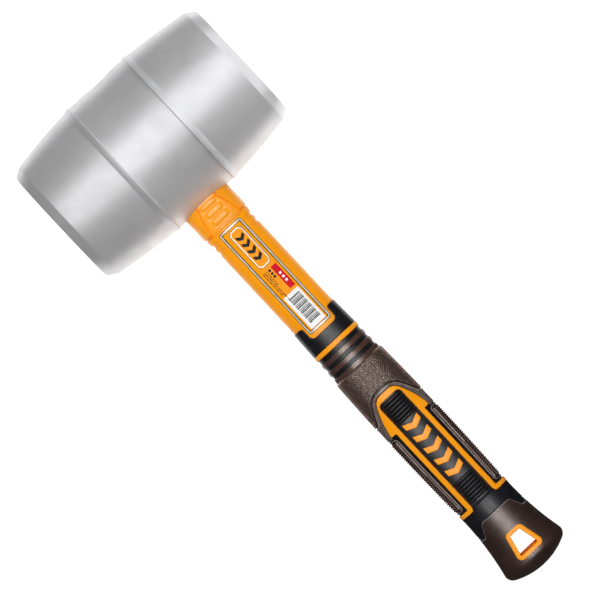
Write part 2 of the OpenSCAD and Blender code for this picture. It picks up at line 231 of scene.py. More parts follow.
class MalletStage(bpy.types.PropertyGroup):
    """Floor, lights and camera."""

    floor: length("Floor", "Width of the floor", 16.0)
    paper: colour("Paper", "Colour of the floor and the backdrop", (0.80, 0.80, 0.80))
    distance: length("Distance", "From the camera to the mallet", 3.2)
    width: length("View width", "What the camera takes in at the mallet", 300 * MM)
    turn: FloatProperty(name="Turn", description="Turn of the handle below level in the view",
                        default=math.radians(46.95), subtype="ANGLE", unit="ROTATION")
    along: length("Aim along", "Point aimed at, along the handle from the head", 108 * MM)
    across: FloatProperty(name="Aim across", description="Point aimed at, along the head",
                          default=0.9 * MM, subtype="DISTANCE", unit="LENGTH", precision=5)
    table: length("Table", "Radius of the part of the floor that shows in glossy surfaces", 0.15)
    glow: number("Glow", "Light that the floor gives off, as a light table does", 1.05)
    table_glow: number("Table glow", "Light that the floor gives off under the head", 1.5)
    lamp_height: length("Lamp height", "Distance of each lamp from the mallet", 1.25)
    head_lamp: number("Head lamp", "Strength of the lamp over the head", 25.5)
    head_lamp_along: length("Head lamp length", "Size of the head's lamp along the handle", 1.3)
    head_lamp_across: length("Head lamp width", "Size of the head's lamp along the head", 2.9)
    head_lamp_shift: length("Head lamp shift", "Shift of the head's lamp towards the left face", 0.65)
    side_lamp: number("Side lamp", "Strength of the low lamp towards the left face", 11)
    side_lamp_along: length("Side lamp length", "Size of the low lamp along the handle", 2.4)
    side_lamp_across: length("Side lamp width", "Size of the low lamp across the handle", 0.6)
    side_tilt: FloatProperty(name="Side tilt", description="Tilt of the low lamp from overhead",
                             default=math.radians(82), subtype="ANGLE", unit="ROTATION")
    grip_lamp: number("Handle lamp", "Strength of the lamp over the handle", 18)
    grip_lamp_along: length("Handle lamp length", "Size of the handle's lamp along it", 1.6)
    grip_lamp_across: length("Handle lamp width", "Size of the handle's lamp across it", 0.45)
    horizon: number("Horizon", "Strength of the sky at the horizon", 0.05)
    zenith: number("Zenith", "Strength of the sky overhead", 0.12)


GROUPS = {
    "mallet_head": MalletHeadShape,
    "mallet_shaft": MalletShaftShape,
    "mallet_grip": MalletGripShape,
    "mallet_finish": MalletFinish,
    "mallet_stage": MalletStage,
}


# ---------------------------------------------------------------- outlines


def lerp(a, b, t):
    return a + (b - a) * t


def smooth(low, high, value):
    """0 up to low, 1 from high on, and a soft step between them."""
    t = np.clip((value - low) / (high - low), 0, 1)
    return t * t * (3 - 2 * t)


def arc(centre, radius, start, end, segments=10):
    """Points along an arc between two angles in degrees."""
    angles = np.radians(np.linspace(start, end, segments + 1))
    return np.array(centre) + radius * np.stack((np.cos(angles), np.sin(angles)), 1)


def rounded(corners, closed=True, segments=8):
    """Outline from (x, y, radius) corners, each rounded by an arc."""
    points = []
    for i, (x, y, radius) in enumerate(corners):
        here = np.array((x, y))
        at_end = not closed and i in (0, len(corners) - 1)
        if radius <= 0 or at_end:
            points.append(here)
            continue
        before = np.array(corners[i - 1][:2]) - here
        after = np.array(corners[(i + 1) % len(corners)][:2]) - here
        before, after = before / np.linalg.norm(before), after / np.linalg.norm(after)
        half = math.acos(np.clip(before @ after, -1, 1)) / 2
        inward = (before + after) / np.linalg.norm(before + after)
        centre = here + inward * radius / math.sin(half)
        first = here + before * radius / math.tan(half) - centre
        last = here + after * radius / math.tan(half) - centre
        start = math.degrees(math.atan2(first[1], first[0]))
        sweep = math.degrees(math.atan2(last[1], last[0])) - start
        sweep = (sweep + 180) % 360 - 180
        points.extend(arc(centre, radius, start, start + sweep, segments))
    return np.array(points)


def box_outline(low_x, high_x, low_y, high_y, radius):
    return rounded([(low_x, low_y, radius), (high_x, low_y, radius),
                    (high_x, high_y, radius), (low_x, high_y, radius)])


def anticlockwise(points):
    x, y = points.T
    area = np.sum(x * np.roll(y, -1) - np.roll(x, -1) * y)
    return points if area > 0 else points[::-1].copy()


def resampled(points, step):
    """The same closed outline with no edge longer than step."""
    out = []
    for a, b in zip(points, np.roll(points, -1, 0), strict=True):
        parts = max(1, math.ceil(np.linalg.norm(b - a) / step))
        out += [lerp(a, b, i / parts) for i in range(parts)]
    return np.array(out)


def even(points, count):
    """An open line cut into evenly spaced points."""
    legs = np.linalg.norm(np.diff(points, axis=0), axis=1)
    along = np.concatenate(([0], np.cumsum(legs)))
    at = np.linspace(0, along[-1], count)
    return np.stack([np.interp(at, along, points[:, k]) for k in (0, 1)], 1)


def offset(points, distance, lap=None):
    """A closed line moved to its left. lap is the second axis's full turn where the line goes round it."""
    edge = np.roll(points, -1, 0) - points
    if lap:
        edge[:, 1] = (edge[:, 1] + lap / 2) % lap - lap / 2
    edge /= np.linalg.norm(edge, axis=1)[:, None]
    left = np.stack((-edge[:, 1], edge[:, 0]), 1)
    middle = left + np.roll(left, 1, 0)
    middle /= np.linalg.norm(middle, axis=1)[:, None]
    stretch = 1 / np.clip(np.sum(middle * left, 1), 0.5, 1)
    return points + middle * (distance * stretch)[:, None]


def inside(points, outline):
    """Which points lie in a closed outline."""
    found = np.zeros(len(points), bool)
    x, y = points.T
    for (x0, y0), (x1, y1) in zip(outline, np.roll(outline, -1, 0), strict=True):
        if y0 != y1:
            crosses = ((y0 > y) != (y1 > y)) & (x < (x1 - x0) * (y - y0) / (y1 - y0) + x0)
            found ^= crosses
    return found


def filled(outline, cell):
    """Points and triangles that fill a closed outline, whose own points come first."""
    low, high = outline.min(0), outline.max(0)
    columns = [np.arange(low[k] + cell[k] / 2, high[k], cell[k]) for k in (0, 1)]
    grid = np.stack(np.meshgrid(*columns, indexing="ij"), -1).reshape(-1, 2)
    grid = grid[inside(grid, offset(outline, 0.45 * min(cell)))]
    points = np.concatenate((outline, grid))
    count = len(outline)
    edges = [(i, (i + 1) % count) for i in range(count)]
    made = geometry.delaunay_2d_cdt([Vector(p) for p in points / MM], edges, [], 0, 1e-6)
    places = np.array([tuple(p) for p in made[0]]) * MM
    source = [min(sources) for sources in made[3]]
    triangles = [t for t, keep in zip(made[2], inside(places[np.array(made[2])].mean(1), outline),
                                      strict=True) if keep]
    return points, [tuple(source[k] for k in t) for t in triangles]


# ---------------------------------------------------------------- the handle's surface

UNROLL = 14.4 * MM  # length of surface for each radian round the handle
SIDE = UNROLL * math.pi / 2  # from the middle of the broad side to the middle of the narrow side
LAP = 4 * SIDE


class Skin:
    """Outer surface of a stretch of the handle, with soft-cornered sections square to X.

    A place on it is x along the handle and s round it, from the middle of the label side."""

    def __init__(self, half_width, half_thickness, squareness):
        self.half_width = half_width
        self.half_thickness = half_thickness
        self.squareness = squareness

    def section(self, x, s):
        """y and z of places on the surface, with the section's outward normal."""
        width = np.maximum(self.half_width(x), 1e-9)
        thickness = np.maximum(self.half_thickness(x), 1e-9)
        power = self.squareness
        sine, cosine = np.sin(s / UNROLL), np.cos(s / UNROLL)
        reach = (np.abs(sine / width) ** power + np.abs(cosine / thickness) ** power) ** (-1 / power)
        y, z = reach * sine, reach * cosine
        out_y = np.sign(y) * np.abs(y / width) ** (power - 1) / width
        out_z = np.sign(z) * np.abs(z / thickness) ** (power - 1) / thickness
        size = np.hypot(out_y, out_z)
        return y, z, out_y / size, out_z / size

    def places(self, points, height):
        """Points at a height above the surface, in the mallet's own axes."""
        x, s = points.T
        y, z, out_y, out_z = self.section(x, s)
        return np.stack((x, y + out_y * height, z + out_z * height), -1)

    def off_axis(self, points):
        """How far places lie from the middle of the broad side, in plan."""
        return np.abs(self.section(*points.T)[0])

    def on_surface(self, plan):
        """An outline in plan as places on the label side."""
        x, y = plan.T
        width, thickness, power = self.half_width(x), self.half_thickness(x), self.squareness
        share = np.clip(np.abs(y) / width, 0, 1)
        z = thickness * (1 - share**power) ** (1 / power)
        return np.stack((x, np.sign(y) * UNROLL * np.arctan2(np.abs(y), z)), 1)


def constant(value):
    return lambda x: np.full(np.shape(x), value, float)


def shaft_skin():
    return Skin(constant(JACKET[1].y), constant(JACKET[1].z), bpy.context.scene.mallet_shaft.squareness)


def guard_skin():
    return Skin(constant(GUARD[1].y), constant(GUARD[1].z), bpy.context.scene.mallet_shaft.squareness)


def collar_skin():
    shape = bpy.context.scene.mallet_shaft
    near, far = shape.collar_near_w / 2, COLLAR[1].y

    def half_width(x):
        return lerp(near, far, (x - COLLAR[0].x) / (COLLAR[1].x - COLLAR[0].x))

    return Skin(half_width, constant(COLLAR[1].z), shape.squareness)


def grip_skin():
    """Skin of the whole grip: it steps up from the rings, swells, draws in and flares to the butt."""
    shape = bpy.context.scene.mallet_grip
    ring_growth = 0.4  # share of the step up to the sleeve that the ring end grows by itself

    def half_size(x, ring, sleeve, full, tail, butt):
        step_end = shape.sleeve_start + shape.ring_step
        t = (x - COLLAR[1].x) / (shape.sleeve_start - COLLAR[1].x)
        ringed = lerp(ring, lerp(ring, sleeve, ring_growth), t)
        t = np.clip((x - step_end) / (shape.swell_end - step_end), 0, 1)
        swollen = lerp(lerp(sleeve, tail, t), full, 1 - (2 * t - 1) ** 2)
        size = lerp(ringed, swollen, smooth(shape.sleeve_start, step_end, x))
        t = np.clip((x - shape.swell_end) / (shape.butt_full - shape.swell_end), 0, 1)
        size = np.where(x > shape.swell_end, lerp(tail, butt, t * t), size)
        # The butt: a corner arc that runs into a crowned end.
        corner, drop = shape.butt_r, CAP[1].x - shape.butt_full
        crown = (drop**2 + (butt - corner) ** 2 - corner**2) / (2 * (drop - corner))
        turn = math.atan2(butt - corner, crown - drop)
        past = x - shape.butt_full
        in_corner = butt - corner + np.sqrt(np.clip(corner**2 - past**2, 0, None))
        in_crown = np.sqrt(np.clip(crown**2 - (x - CAP[1].x + crown) ** 2, 0, None))
        size = np.where(past > 0, in_corner, size)
        return np.where(past > corner * math.cos(turn), in_crown, size)

    def half_width(x):
        return half_size(x, BAND[1].y, shape.sleeve_w / 2, shape.full_w / 2, shape.tail_w / 2, CAP[1].y)

    def half_thickness(x):
        full = shape.full_t / 2
        at_sleeve = full - 0.5 * MM
        return half_size(x, BAND[1].z, at_sleeve, full, shape.tail_t / 2, CAP[1].z)

    return Skin(half_width, half_thickness, shape.squareness)


# ---------------------------------------------------------------- meshes


class Shell:
    """Points and faces of a piece while it is put together, in the mallet's own axes."""

    def __init__(self):
        self.places = np.empty((0, 3))
        self.faces = []

    def add(self, places):
        """Adds points and returns their numbers."""
        start = len(self.places)
        self.places = np.concatenate((self.places, places))
        return np.arange(start, len(self.places))

    def rows(self, rows, closed):
        """Quads between closed rows of the same length."""
        pairs = zip(rows, rows[1:] + rows[:1], strict=True) if closed else zip(rows, rows[1:])
        for lower, upper in pairs:
            quads = np.stack((lower, np.roll(lower, -1), np.roll(upper, -1), upper), 1)
            self.faces += [tuple(q) for q in quads.tolist()]

    def fill(self, ring, triangles, places):
        """Triangles of a filled outline, whose ring is there already."""
        numbers = np.concatenate((ring, self.add(places[len(ring):])))
        self.faces += [tuple(numbers[list(t)].tolist()) for t in triangles]

    def join(self, *others):
        for other in others:
            start = len(self.places)
            self.add(other.places)
            self.faces += [tuple(k + start for k in face) for face in other.faces]
        return self

    def mirrored(self, axis):
        """The same piece on the other side: axis 1 is left to right, and 2 is label side to back."""
        other = Shell()
        other.add(self.places * np.where(np.arange(3) == axis, -1, 1))
        other.faces = self.faces
        return other

    def piece(self, name, finish, slot, nodes=(), sharp=40, cutter=None):
        """The finished object, which rides on the mallet and stands for CAD nodes."""
        mesh = bpy.data.meshes.new(name)
        mesh.from_pydata(self.places.tolist(), [], self.faces)
        cleaned = bmesh.new()
        cleaned.from_mesh(mesh)
        bmesh.ops.remove_doubles(cleaned, verts=cleaned.verts, dist=1e-3 * MM)
        bmesh.ops.recalc_face_normals(cleaned, faces=cleaned.faces)
        cleaned.to_mesh(mesh)
        cleaned.free()
        made = bpy.data.objects.new(name, mesh)
        bpy.context.scene.collection.objects.link(made)
        if cutter:
            mesh = cut(made, cutter)
        mesh.transform(LYING)
        mesh.shade_smooth()
        mesh.set_sharp_from_angle(angle=math.radians(sharp))
        mesh.materials.clear()
        mesh.materials.append(finish)
        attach(made, BODY)
        if nodes:
            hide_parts(*nodes)
        return made

    def twins(self, axis, names, finish, slot, nodes=((), ()), sharp=40):
        """This piece and its mirror image, as two pieces."""
        for shell, name, stands_for in zip((self, self.mirrored(axis)), names, nodes, strict=True):
            shell.piece(name, finish, slot, stands_for, sharp)


def cut(made, cutter):
    """Takes a cutter's shape out of an object and returns the new mesh."""
    tool_mesh = bpy.data.meshes.new("cutter")
    tool_mesh.from_pydata(cutter.places.tolist(), [], cutter.faces)
    cleaned = bmesh.new()
    cleaned.from_mesh(tool_mesh)
    bmesh.ops.recalc_face_normals(cleaned, faces=cleaned.faces)
    cleaned.to_mesh(tool_mesh)
    cleaned.free()
    tool = bpy.data.objects.new("cutter", tool_mesh)
    bpy.context.scene.collection.objects.link(tool)
    modifier = made.modifiers.new("Cut", "BOOLEAN")
    modifier.object = tool
    modifier.solver = "EXACT"
    modifier.operation = "DIFFERENCE"
    shown = bpy.context.evaluated_depsgraph_get()
    result = bpy.data.meshes.new_from_object(made.evaluated_get(shown))
    made.modifiers.clear()
    made.data = result
    bpy.data.objects.remove(tool)
    return result


def no_relief(points):
    return np.zeros(len(points))


def soft_edge(radius, top=0.0, steps=3):
    """Quarter-round edge as (distance in, height) pairs that ends at height top."""
    turn = [math.pi / 2 * k / steps for k in range(steps + 1)]
    return [(radius * (1 - math.cos(a)), top - radius * (1 - math.sin(a))) for a in turn]


def bead_side(width, rise, top, steps=4):
    """One side of a round bead that stands on its own, up to its crest at height top."""
    turn = [math.pi / 2 * k / steps for k in range(steps)]
    round_side = [(width / 2 * (1 - math.cos(a)), top - rise * (1 - math.sin(a))) for a in turn]
    return [(0, top - 2 * rise), *round_side]


def plate(skin, outline, edge, depth, relief=no_relief, cell=(0.8 * MM, 0.8 * MM), step=0.6 * MM):
    """Closed plate that follows the skin. edge lists (distance in, height) from the outside in."""
    shell = Shell()
    outline = resampled(anticlockwise(outline), step)
    base = shell.add(skin.places(outline, -depth))
    rows = [base]
    for distance, height in edge:
        ring = offset(outline, distance)
        rows.append(shell.add(skin.places(ring, height + relief(ring))))
    shell.rows(rows, closed=False)
    points, triangles = filled(ring, cell)
    shell.fill(rows[-1], triangles, skin.places(points, edge[-1][1] + relief(points)))
    points, triangles = filled(outline, (3 * cell[0], 3 * cell[1]))
    shell.fill(base, triangles, skin.places(points, -depth))
    return shell


def rim(skin, outline, section, step=0.6 * MM):
    """Closed band along an outline. section lists (distance in, height) round the band."""
    shell = Shell()
    outline = resampled(anticlockwise(outline), step)
    rows = [shell.add(skin.places(offset(outline, d), h)) for d, h in section]
    shell.rows(rows, closed=True)
    return shell


def round_line(quarter):
    """Closed line round the handle from its quarter, which runs from s = 0 to s = SIDE."""
    half = np.concatenate((quarter, (quarter * (1, -1) + (0, 2 * SIDE))[-2::-1]))
    return np.concatenate((half, (half * (1, -1))[-2:0:-1]))


def plain_ring(x, count=61):
    """Quarter line of a plain ring."""
    return np.stack((np.full(count, x), np.linspace(0, SIDE, count)), 1)


def sleeve(skin, start, end, start_edge, end_edge, depth, relief=no_relief, stations=None, pitch=0.6 * MM):
    """Closed tube round the handle between two quarter lines with the same number of points."""
    shell = Shell()
    first, last = round_line(start), round_line(end)
    rows = [shell.add(skin.places(first, -depth))]
    for distance, height in start_edge:
        ring = offset(first, -distance, LAP)
        rows.append(shell.add(skin.places(ring, height + relief(ring))))
    inner_first, inner_last = ring, offset(last, end_edge[-1][0], LAP)
    gap = (inner_last - inner_first) * (1, 0)
    if stations is None:
        stations = np.linspace(0, 1, max(2, math.ceil(gap.max() / pitch)) + 1)
    for t in stations[1:-1]:
        ring = lerp(inner_first, inner_last, t)
        height = lerp(start_edge[-1][1], end_edge[-1][1], t)
        rows.append(shell.add(skin.places(ring, height + relief(ring))))
    for distance, height in reversed(end_edge):
        ring = offset(last, distance, LAP)
        rows.append(shell.add(skin.places(ring, height + relief(ring))))
    rows.append(shell.add(skin.places(last, -depth)))
    shell.rows(rows, closed=True)
    return shell


def revolved(profile, segments):
    """Solid turned about the Y axis from (radius, y) points that start and end on the axis."""
    shell = Shell()
    turn = np.linspace(0, 2 * math.pi, segments, endpoint=False)
    rows = []
    for radius, y in profile:
        row = np.stack((radius * np.cos(turn), np.full(segments, y), radius * np.sin(turn)), 1)
        rows.append(shell.add(row))
    shell.rows(rows, closed=False)
    return shell


# ---------------------------------------------------------------- finishes


class Finish:
    """A material while its nodes are put together. Textures lie in the frame's own metres."""

    def __init__(self, name, **inputs):
        self.material = bpy.data.materials.new(name)
        self.material.use_nodes = True
        self.tree = self.material.node_tree
        self.shader = self.tree.nodes["Principled BSDF"]
        self.normal = None
        for socket, value in inputs.items():
            self.feed(self.shader.inputs[socket.replace("_", " ")], value)
        self.place = self.add("ShaderNodeTexCoord").outputs["Object"]

    def add(self, kind, inputs=(), **settings):
        node = self.tree.nodes.new(kind)
        for name, value in settings.items():
            setattr(node, name, value)
        for socket, value in dict(inputs).items():
            self.feed(node.inputs[socket], value)
        return node

    def feed(self, socket, value):
        if isinstance(value, bpy.types.NodeSocket):
            self.tree.links.new(value, socket)
        elif socket.type == "RGBA":
            socket.default_value = (*value, 1)
        else:
            socket.default_value = value

    def noise(self, size, detail=3.0, stretch=(1, 1, 1)):
        """Cloudy noise whose features are about size across, longer where stretch is under 1."""
        place = self.add("ShaderNodeMapping", {"Vector": self.place, "Scale": stretch}).outputs[0]
        inputs = {"Vector": place, "Scale": 1 / size, "Detail": detail, "Roughness": 0.6}
        return self.add("ShaderNodeTexNoise", inputs).outputs[0]

    def cells(self, size):
        """Distance from the middle of each of many small cells."""
        inputs = {"Vector": self.place, "Scale": 1 / size, "Randomness": 1.0}
        return self.add("ShaderNodeTexVoronoi", inputs).outputs["Distance"]

    def ramp(self, value, low, high, start=0.35, end=0.65):
        """A number between low and high as value goes from start to end."""
        inputs = {"Value": value, "From Min": start, "From Max": end, "To Min": low, "To Max": high}
        return self.add("ShaderNodeMapRange", inputs).outputs[0]

    def mix(self, share, a, b):
        node = self.add("ShaderNodeMix", data_type="RGBA")
        for place, value in ((0, share), (6, a), (7, b)):
            self.feed(node.inputs[place], value)
        return node.outputs[2]

    def bump(self, height, depth, strength=1.0):
        inputs = {"Height": height, "Distance": depth, "Strength": strength}
        if self.normal:
            inputs["Normal"] = self.normal
        self.normal = self.add("ShaderNodeBump", inputs).outputs[0]

    def done(self, colour, roughness):
        self.feed(self.shader.inputs["Base Color"], colour)
        self.feed(self.shader.inputs["Roughness"], roughness)
        if self.normal:
            self.feed(self.shader.inputs["Normal"], self.normal)
        return self.material


def shade(colour, factor):
    return tuple(min(1.0, c * factor) for c in colour)


def kept(make):
    """Makes each finish once and gives the same material from then on."""
    made = {}

    def get(*args):
        key = (make.__name__, *args)
        if key not in made:
            made[key] = make(*args)
        return made[key]

    return get


def colours():
    return bpy.context.scene.mallet_finish


@kept
def head_rubber():
    """Pale grey rubber with a satin mould skin, faint clouding and fine pores."""
    pale = tuple(colours().head)
    finish = Finish("head_rubber", Metallic=colours().head_sheen, Specular_IOR_Level=0.5)
    clouds = finish.ramp(finish.noise(18 * MM, 4), 0, 1, 0.3, 0.7)
    colour = finish.mix(clouds, shade(pale, 0.95), shade(pale, 1.03))
    pores = finish.noise(0.55 * MM, 2)
    colour = finish.mix(finish.ramp(pores, 0.0, 0.22, 0.62, 0.74), colour, shade(pale, 0.7))
    finish.bump(pores, 0.035 * MM, 0.6)
    finish.bump(finish.noise(4 * MM, 3), 0.06 * MM, 0.5)
    return finish.done(colour, finish.ramp(finish.noise(7 * MM, 4), 0.36, 0.46))


@kept
def orange_plastic(name="orange_plastic", shine=0.3):
    """Glossy orange plastic with a faint flow pattern and a fine orange-peel skin."""
    orange = tuple(colours().orange)
    finish = Finish(name, Specular_IOR_Level=shine)
    flow = finish.ramp(finish.noise(16 * MM, 3, (0.4, 1, 1)), 0, 1, 0.3, 0.7)
    colour = finish.mix(flow, shade(orange, 0.93), shade(orange, 1.05))
    finish.bump(finish.noise(0.5 * MM, 2), 0.02 * MM, 0.5)
    finish.bump(finish.noise(3 * MM, 2), 0.04 * MM, 0.4)
    return finish.done(colour, finish.ramp(finish.noise(5 * MM), 0.34, 0.44))


@kept
def black_plastic():
    """Satin black plastic with a fine spark-eroded skin."""
    black = tuple(colours().black)
    finish = Finish("black_plastic", Specular_IOR_Level=0.32)
    clouds = finish.ramp(finish.noise(9 * MM, 3), 0, 1)
    colour = finish.mix(clouds, shade(black, 0.8), shade(black, 1.5))
    finish.bump(finish.noise(0.35 * MM, 2), 0.02 * MM, 0.6)
    return finish.done(colour, finish.ramp(finish.noise(3 * MM), 0.30, 0.40))


WARM = (1.0, 0.86, 0.80)  # tint of the light that brown rubber throws back
WARMER = (1.0, 0.80, 0.70)
DUSTY = (1.0, 0.70, 0.60)


@kept
def smooth_rubber(name="smooth_rubber", lift=1.0, roughness=0.32):
    """Dark brown soft rubber with a silky skin, a bloom in patches and fine pores."""
    brown = shade(tuple(colours().brown), lift)
    finish = Finish(name, Specular_IOR_Level=0.85, Specular_Tint=WARM)
    bloom = finish.ramp(finish.noise(10 * MM, 4), 0, 1)
    colour = finish.mix(bloom, shade(brown, 0.8), shade(brown, 1.2))
    pores = finish.noise(0.4 * MM, 2)
    finish.bump(pores, 0.025 * MM, 0.6)
    finish.bump(finish.noise(2.5 * MM, 2), 0.03 * MM, 0.5)
    return finish.done(colour, finish.ramp(finish.noise(4 * MM), roughness, roughness + 0.1))


@kept
def bead_rubber(name="bead_rubber", pale=0.24):
    """Rubber of the thin beads and the saddle, given a pale tone that is a painted highlight, with darker
    patches at random.
    """
    # Painted highlight: the pale tone stands in for the light along the beads' crests and over the saddle.
    highlight_tone = (pale, 0.80 * pale, 0.74 * pale)
    finish = Finish(name, Specular_IOR_Level=0.85, Specular_Tint=WARM)
    highlight_patches = finish.ramp(finish.noise(2 * MM, 3), 0, 1, 0.35, 0.6)
    finish.bump(finish.noise(0.4 * MM, 2), 0.02 * MM, 0.5)
    colour = finish.mix(highlight_patches, shade(highlight_tone, 0.7), highlight_tone)
    return finish.done(colour, finish.ramp(finish.noise(4 * MM), 0.25, 0.35))


@kept
def grained_rubber():
    """The same rubber with a pebbled grain whose crowns are painted pale as a painted highlight."""
    brown = shade(tuple(colours().brown), 1.1)
    finish = Finish("grained_rubber", Specular_IOR_Level=1.0, Specular_Tint=WARMER, IOR=1.7,
                    Sheen_Weight=0.4, Sheen_Roughness=0.3, Sheen_Tint=DUSTY)
    pebbles = finish.cells(0.62 * MM)
    speckle = finish.noise(0.65 * MM, 3)
    bloom = finish.ramp(finish.noise(8 * MM, 3), 0, 1)
    colour = finish.mix(bloom, shade(brown, 0.85), shade(brown, 1.15))
    # Painted highlight: each pebble's raised crown is painted much paler than the rubber.
    colour = finish.mix(finish.ramp(pebbles, 0.55, 0.0, 0.1, 0.5), colour, shade(brown, 4.5))
    colour = finish.mix(finish.ramp(speckle, 0.0, 0.85, 0.48, 0.62), colour, shade(brown, 0.15))
    finish.bump(pebbles, -0.25 * MM, 1.0)
    finish.bump(speckle, 0.12 * MM, 0.9)
    return finish.done(colour, finish.ramp(speckle, 0.30, 0.56, 0.40, 0.60))


@kept
def silver_foil():
    """Brushed silver foil of the label's border."""
    silver = tuple(colours().silver)
    finish = Finish("silver_foil", Metallic=0.25, Specular_IOR_Level=0.3)
    brushed = finish.noise(0.5 * MM, 3, (0.08, 1, 1))
    colour = finish.mix(finish.ramp(brushed, 0, 1), shade(silver, 0.85), shade(silver, 1.1))
    finish.bump(brushed, 0.01 * MM, 0.5)
    return finish.done(colour, finish.ramp(brushed, 0.28, 0.42))


@kept
def ink(name, colour, roughness):
    """Printed ink on the label's film, with a faint mottle of the print."""
    finish = Finish(name, Specular_IOR_Level=0.05)
    mottle = finish.ramp(finish.noise(0.7 * MM, 3), 0, 1)
    mixed = finish.mix(mottle, shade(colour, 0.94), shade(colour, 1.04))
    finish.bump(finish.noise(0.25 * MM, 2), 0.004 * MM, 0.4)
    return finish.done(mixed, finish.ramp(mottle, roughness - 0.04, roughness + 0.04, 0, 1))


@kept
def epoxy():
    """Amber epoxy with small bubbles."""
    resin = tuple(colours().resin)
    finish = Finish("epoxy", Coat_Weight=0.4, Transmission_Weight=0.15)
    bubbles = finish.cells(1.4 * MM)
    colour = finish.mix(finish.ramp(bubbles, 0.6, 0, 0.05, 0.2), shade(resin, 0.9), shade(resin, 1.4))
    finish.bump(bubbles, 0.1 * MM, 0.4)
    return finish.done(colour, finish.ramp(finish.noise(4 * MM), 0.15, 0.3))


@kept
def glass_fibre():
    """Pultruded rod with strands along it."""
    glass = tuple(colours().glass)
    finish = Finish("glass_fibre", Coat_Weight=0.3)
    strands = finish.noise(0.6 * MM, 3, (0.02, 1, 1))
    colour = finish.mix(finish.ramp(strands, 0, 1), shade(glass, 0.75), shade(glass, 1.15))
    finish.bump(strands, 0.05 * MM, 0.6)
    return finish.done(colour, finish.ramp(strands, 0.3, 0.5))


# ---------------------------------------------------------------- the pieces


class MakePiece(bpy.types.Operator):
    """Base of the operators that make a piece or a group of like pieces."""

    bl_idname = "mallet.piece"
    bl_label = "Piece"
    bl_options = {"REGISTER", "UNDO"}


def filleted(corners, radius, segments=4):
    """Profile with each inner corner given a small fillet, no larger than its legs allow."""
    out = []
    for i, (x, y) in enumerate(corners):
        if i in (0, len(corners) - 1):
            out.append((x, y, 0))
            continue
        legs = [math.dist((x, y), corners[k]) for k in (i - 1, i + 1)]
        out.append((x, y, min(radius, 0.45 * min(legs))))
    return rounded(out, closed=False, segments=segments)


def refinish(node, finish):
    """Gives a CAD node, whose shape stays, its material."""
    materials = frame["nodes"][node].data.materials
    materials.clear()
    materials.append(finish)


class MALLET_OT_head(MakePiece):
    """Turns the barrel-shaped head with its ribs, tapers and chamfers, and opens its eye"""

    bl_idname = "mallet.head"
    bl_label = "Head"

    def execute(self, context):
        shape = context.scene.mallet_head
        face, half_band = HEAD[1].y, shape.band_w / 2
        rib_far = half_band + shape.rib_w
        taper = []
        for t in np.linspace(0, 1, 17):
            bow = shape.taper_bow * (1 - (2 * t - 1) ** 2)
            taper.append((lerp(shape.chamfer_d, shape.taper_d, t) / 2 + bow,
                          lerp(face - shape.chamfer, rib_far, t)))
        half = [(0, face), (shape.face_d / 2, face), *taper,
                (HEAD[1].z - shape.rib_fall, rib_far), (HEAD[1].z, half_band),
                (shape.band_d / 2, half_band), (shape.band_d / 2, 0)]
        half = filleted(half, shape.fillet)
        profile = np.concatenate((half, (half * (1, -1))[-2::-1]))
        barrel = revolved(resampled_line(profile, 2 * MM), shape.segments)
        eye = rod(-HEAD[1].z, HEAD[1].z, PLUG[1].y)
        barrel.piece("head_barrel", head_rubber(), "head_rubber", ["rubber_head"], 30, eye)
        refinish("eye_plug", head_rubber())
        return {"FINISHED"}


def resampled_line(points, step):
    """The same open line with no leg longer than step."""
    out = [points[0]]
    for a, b in zip(points, points[1:], strict=False):
        parts = max(1, math.ceil(np.linalg.norm(b - a) / step))
        out += [lerp(a, b, i / parts) for i in range(1, parts + 1)]
    return np.array(out)


def rod(low_x, high_x, radius, segments=96):
    """Plain rod along the handle, for cutting."""
    shell = Shell()
    turn = np.linspace(0, 2 * math.pi, segments, endpoint=False)
    rows = []
    for x in (low_x, high_x):
        row = np.stack((np.full(segments, x), radius * np.cos(turn), radius * np.sin(turn)), 1)
        rows.append(shell.add(row))
    shell.rows(rows, closed=False)
    shell.faces += [tuple(row.tolist()) for row in rows]
    return shell


class MALLET_OT_core(MakePiece):
    """Gives the core and its bond, which the frame shapes, their finishes"""

    bl_idname = "mallet.core"
    bl_label = "Core and bond"

    def execute(self, context):
        refinish("epoxy_bond", epoxy())
        refinish("fibreglass_core", glass_fibre())
        return {"FINISHED"}


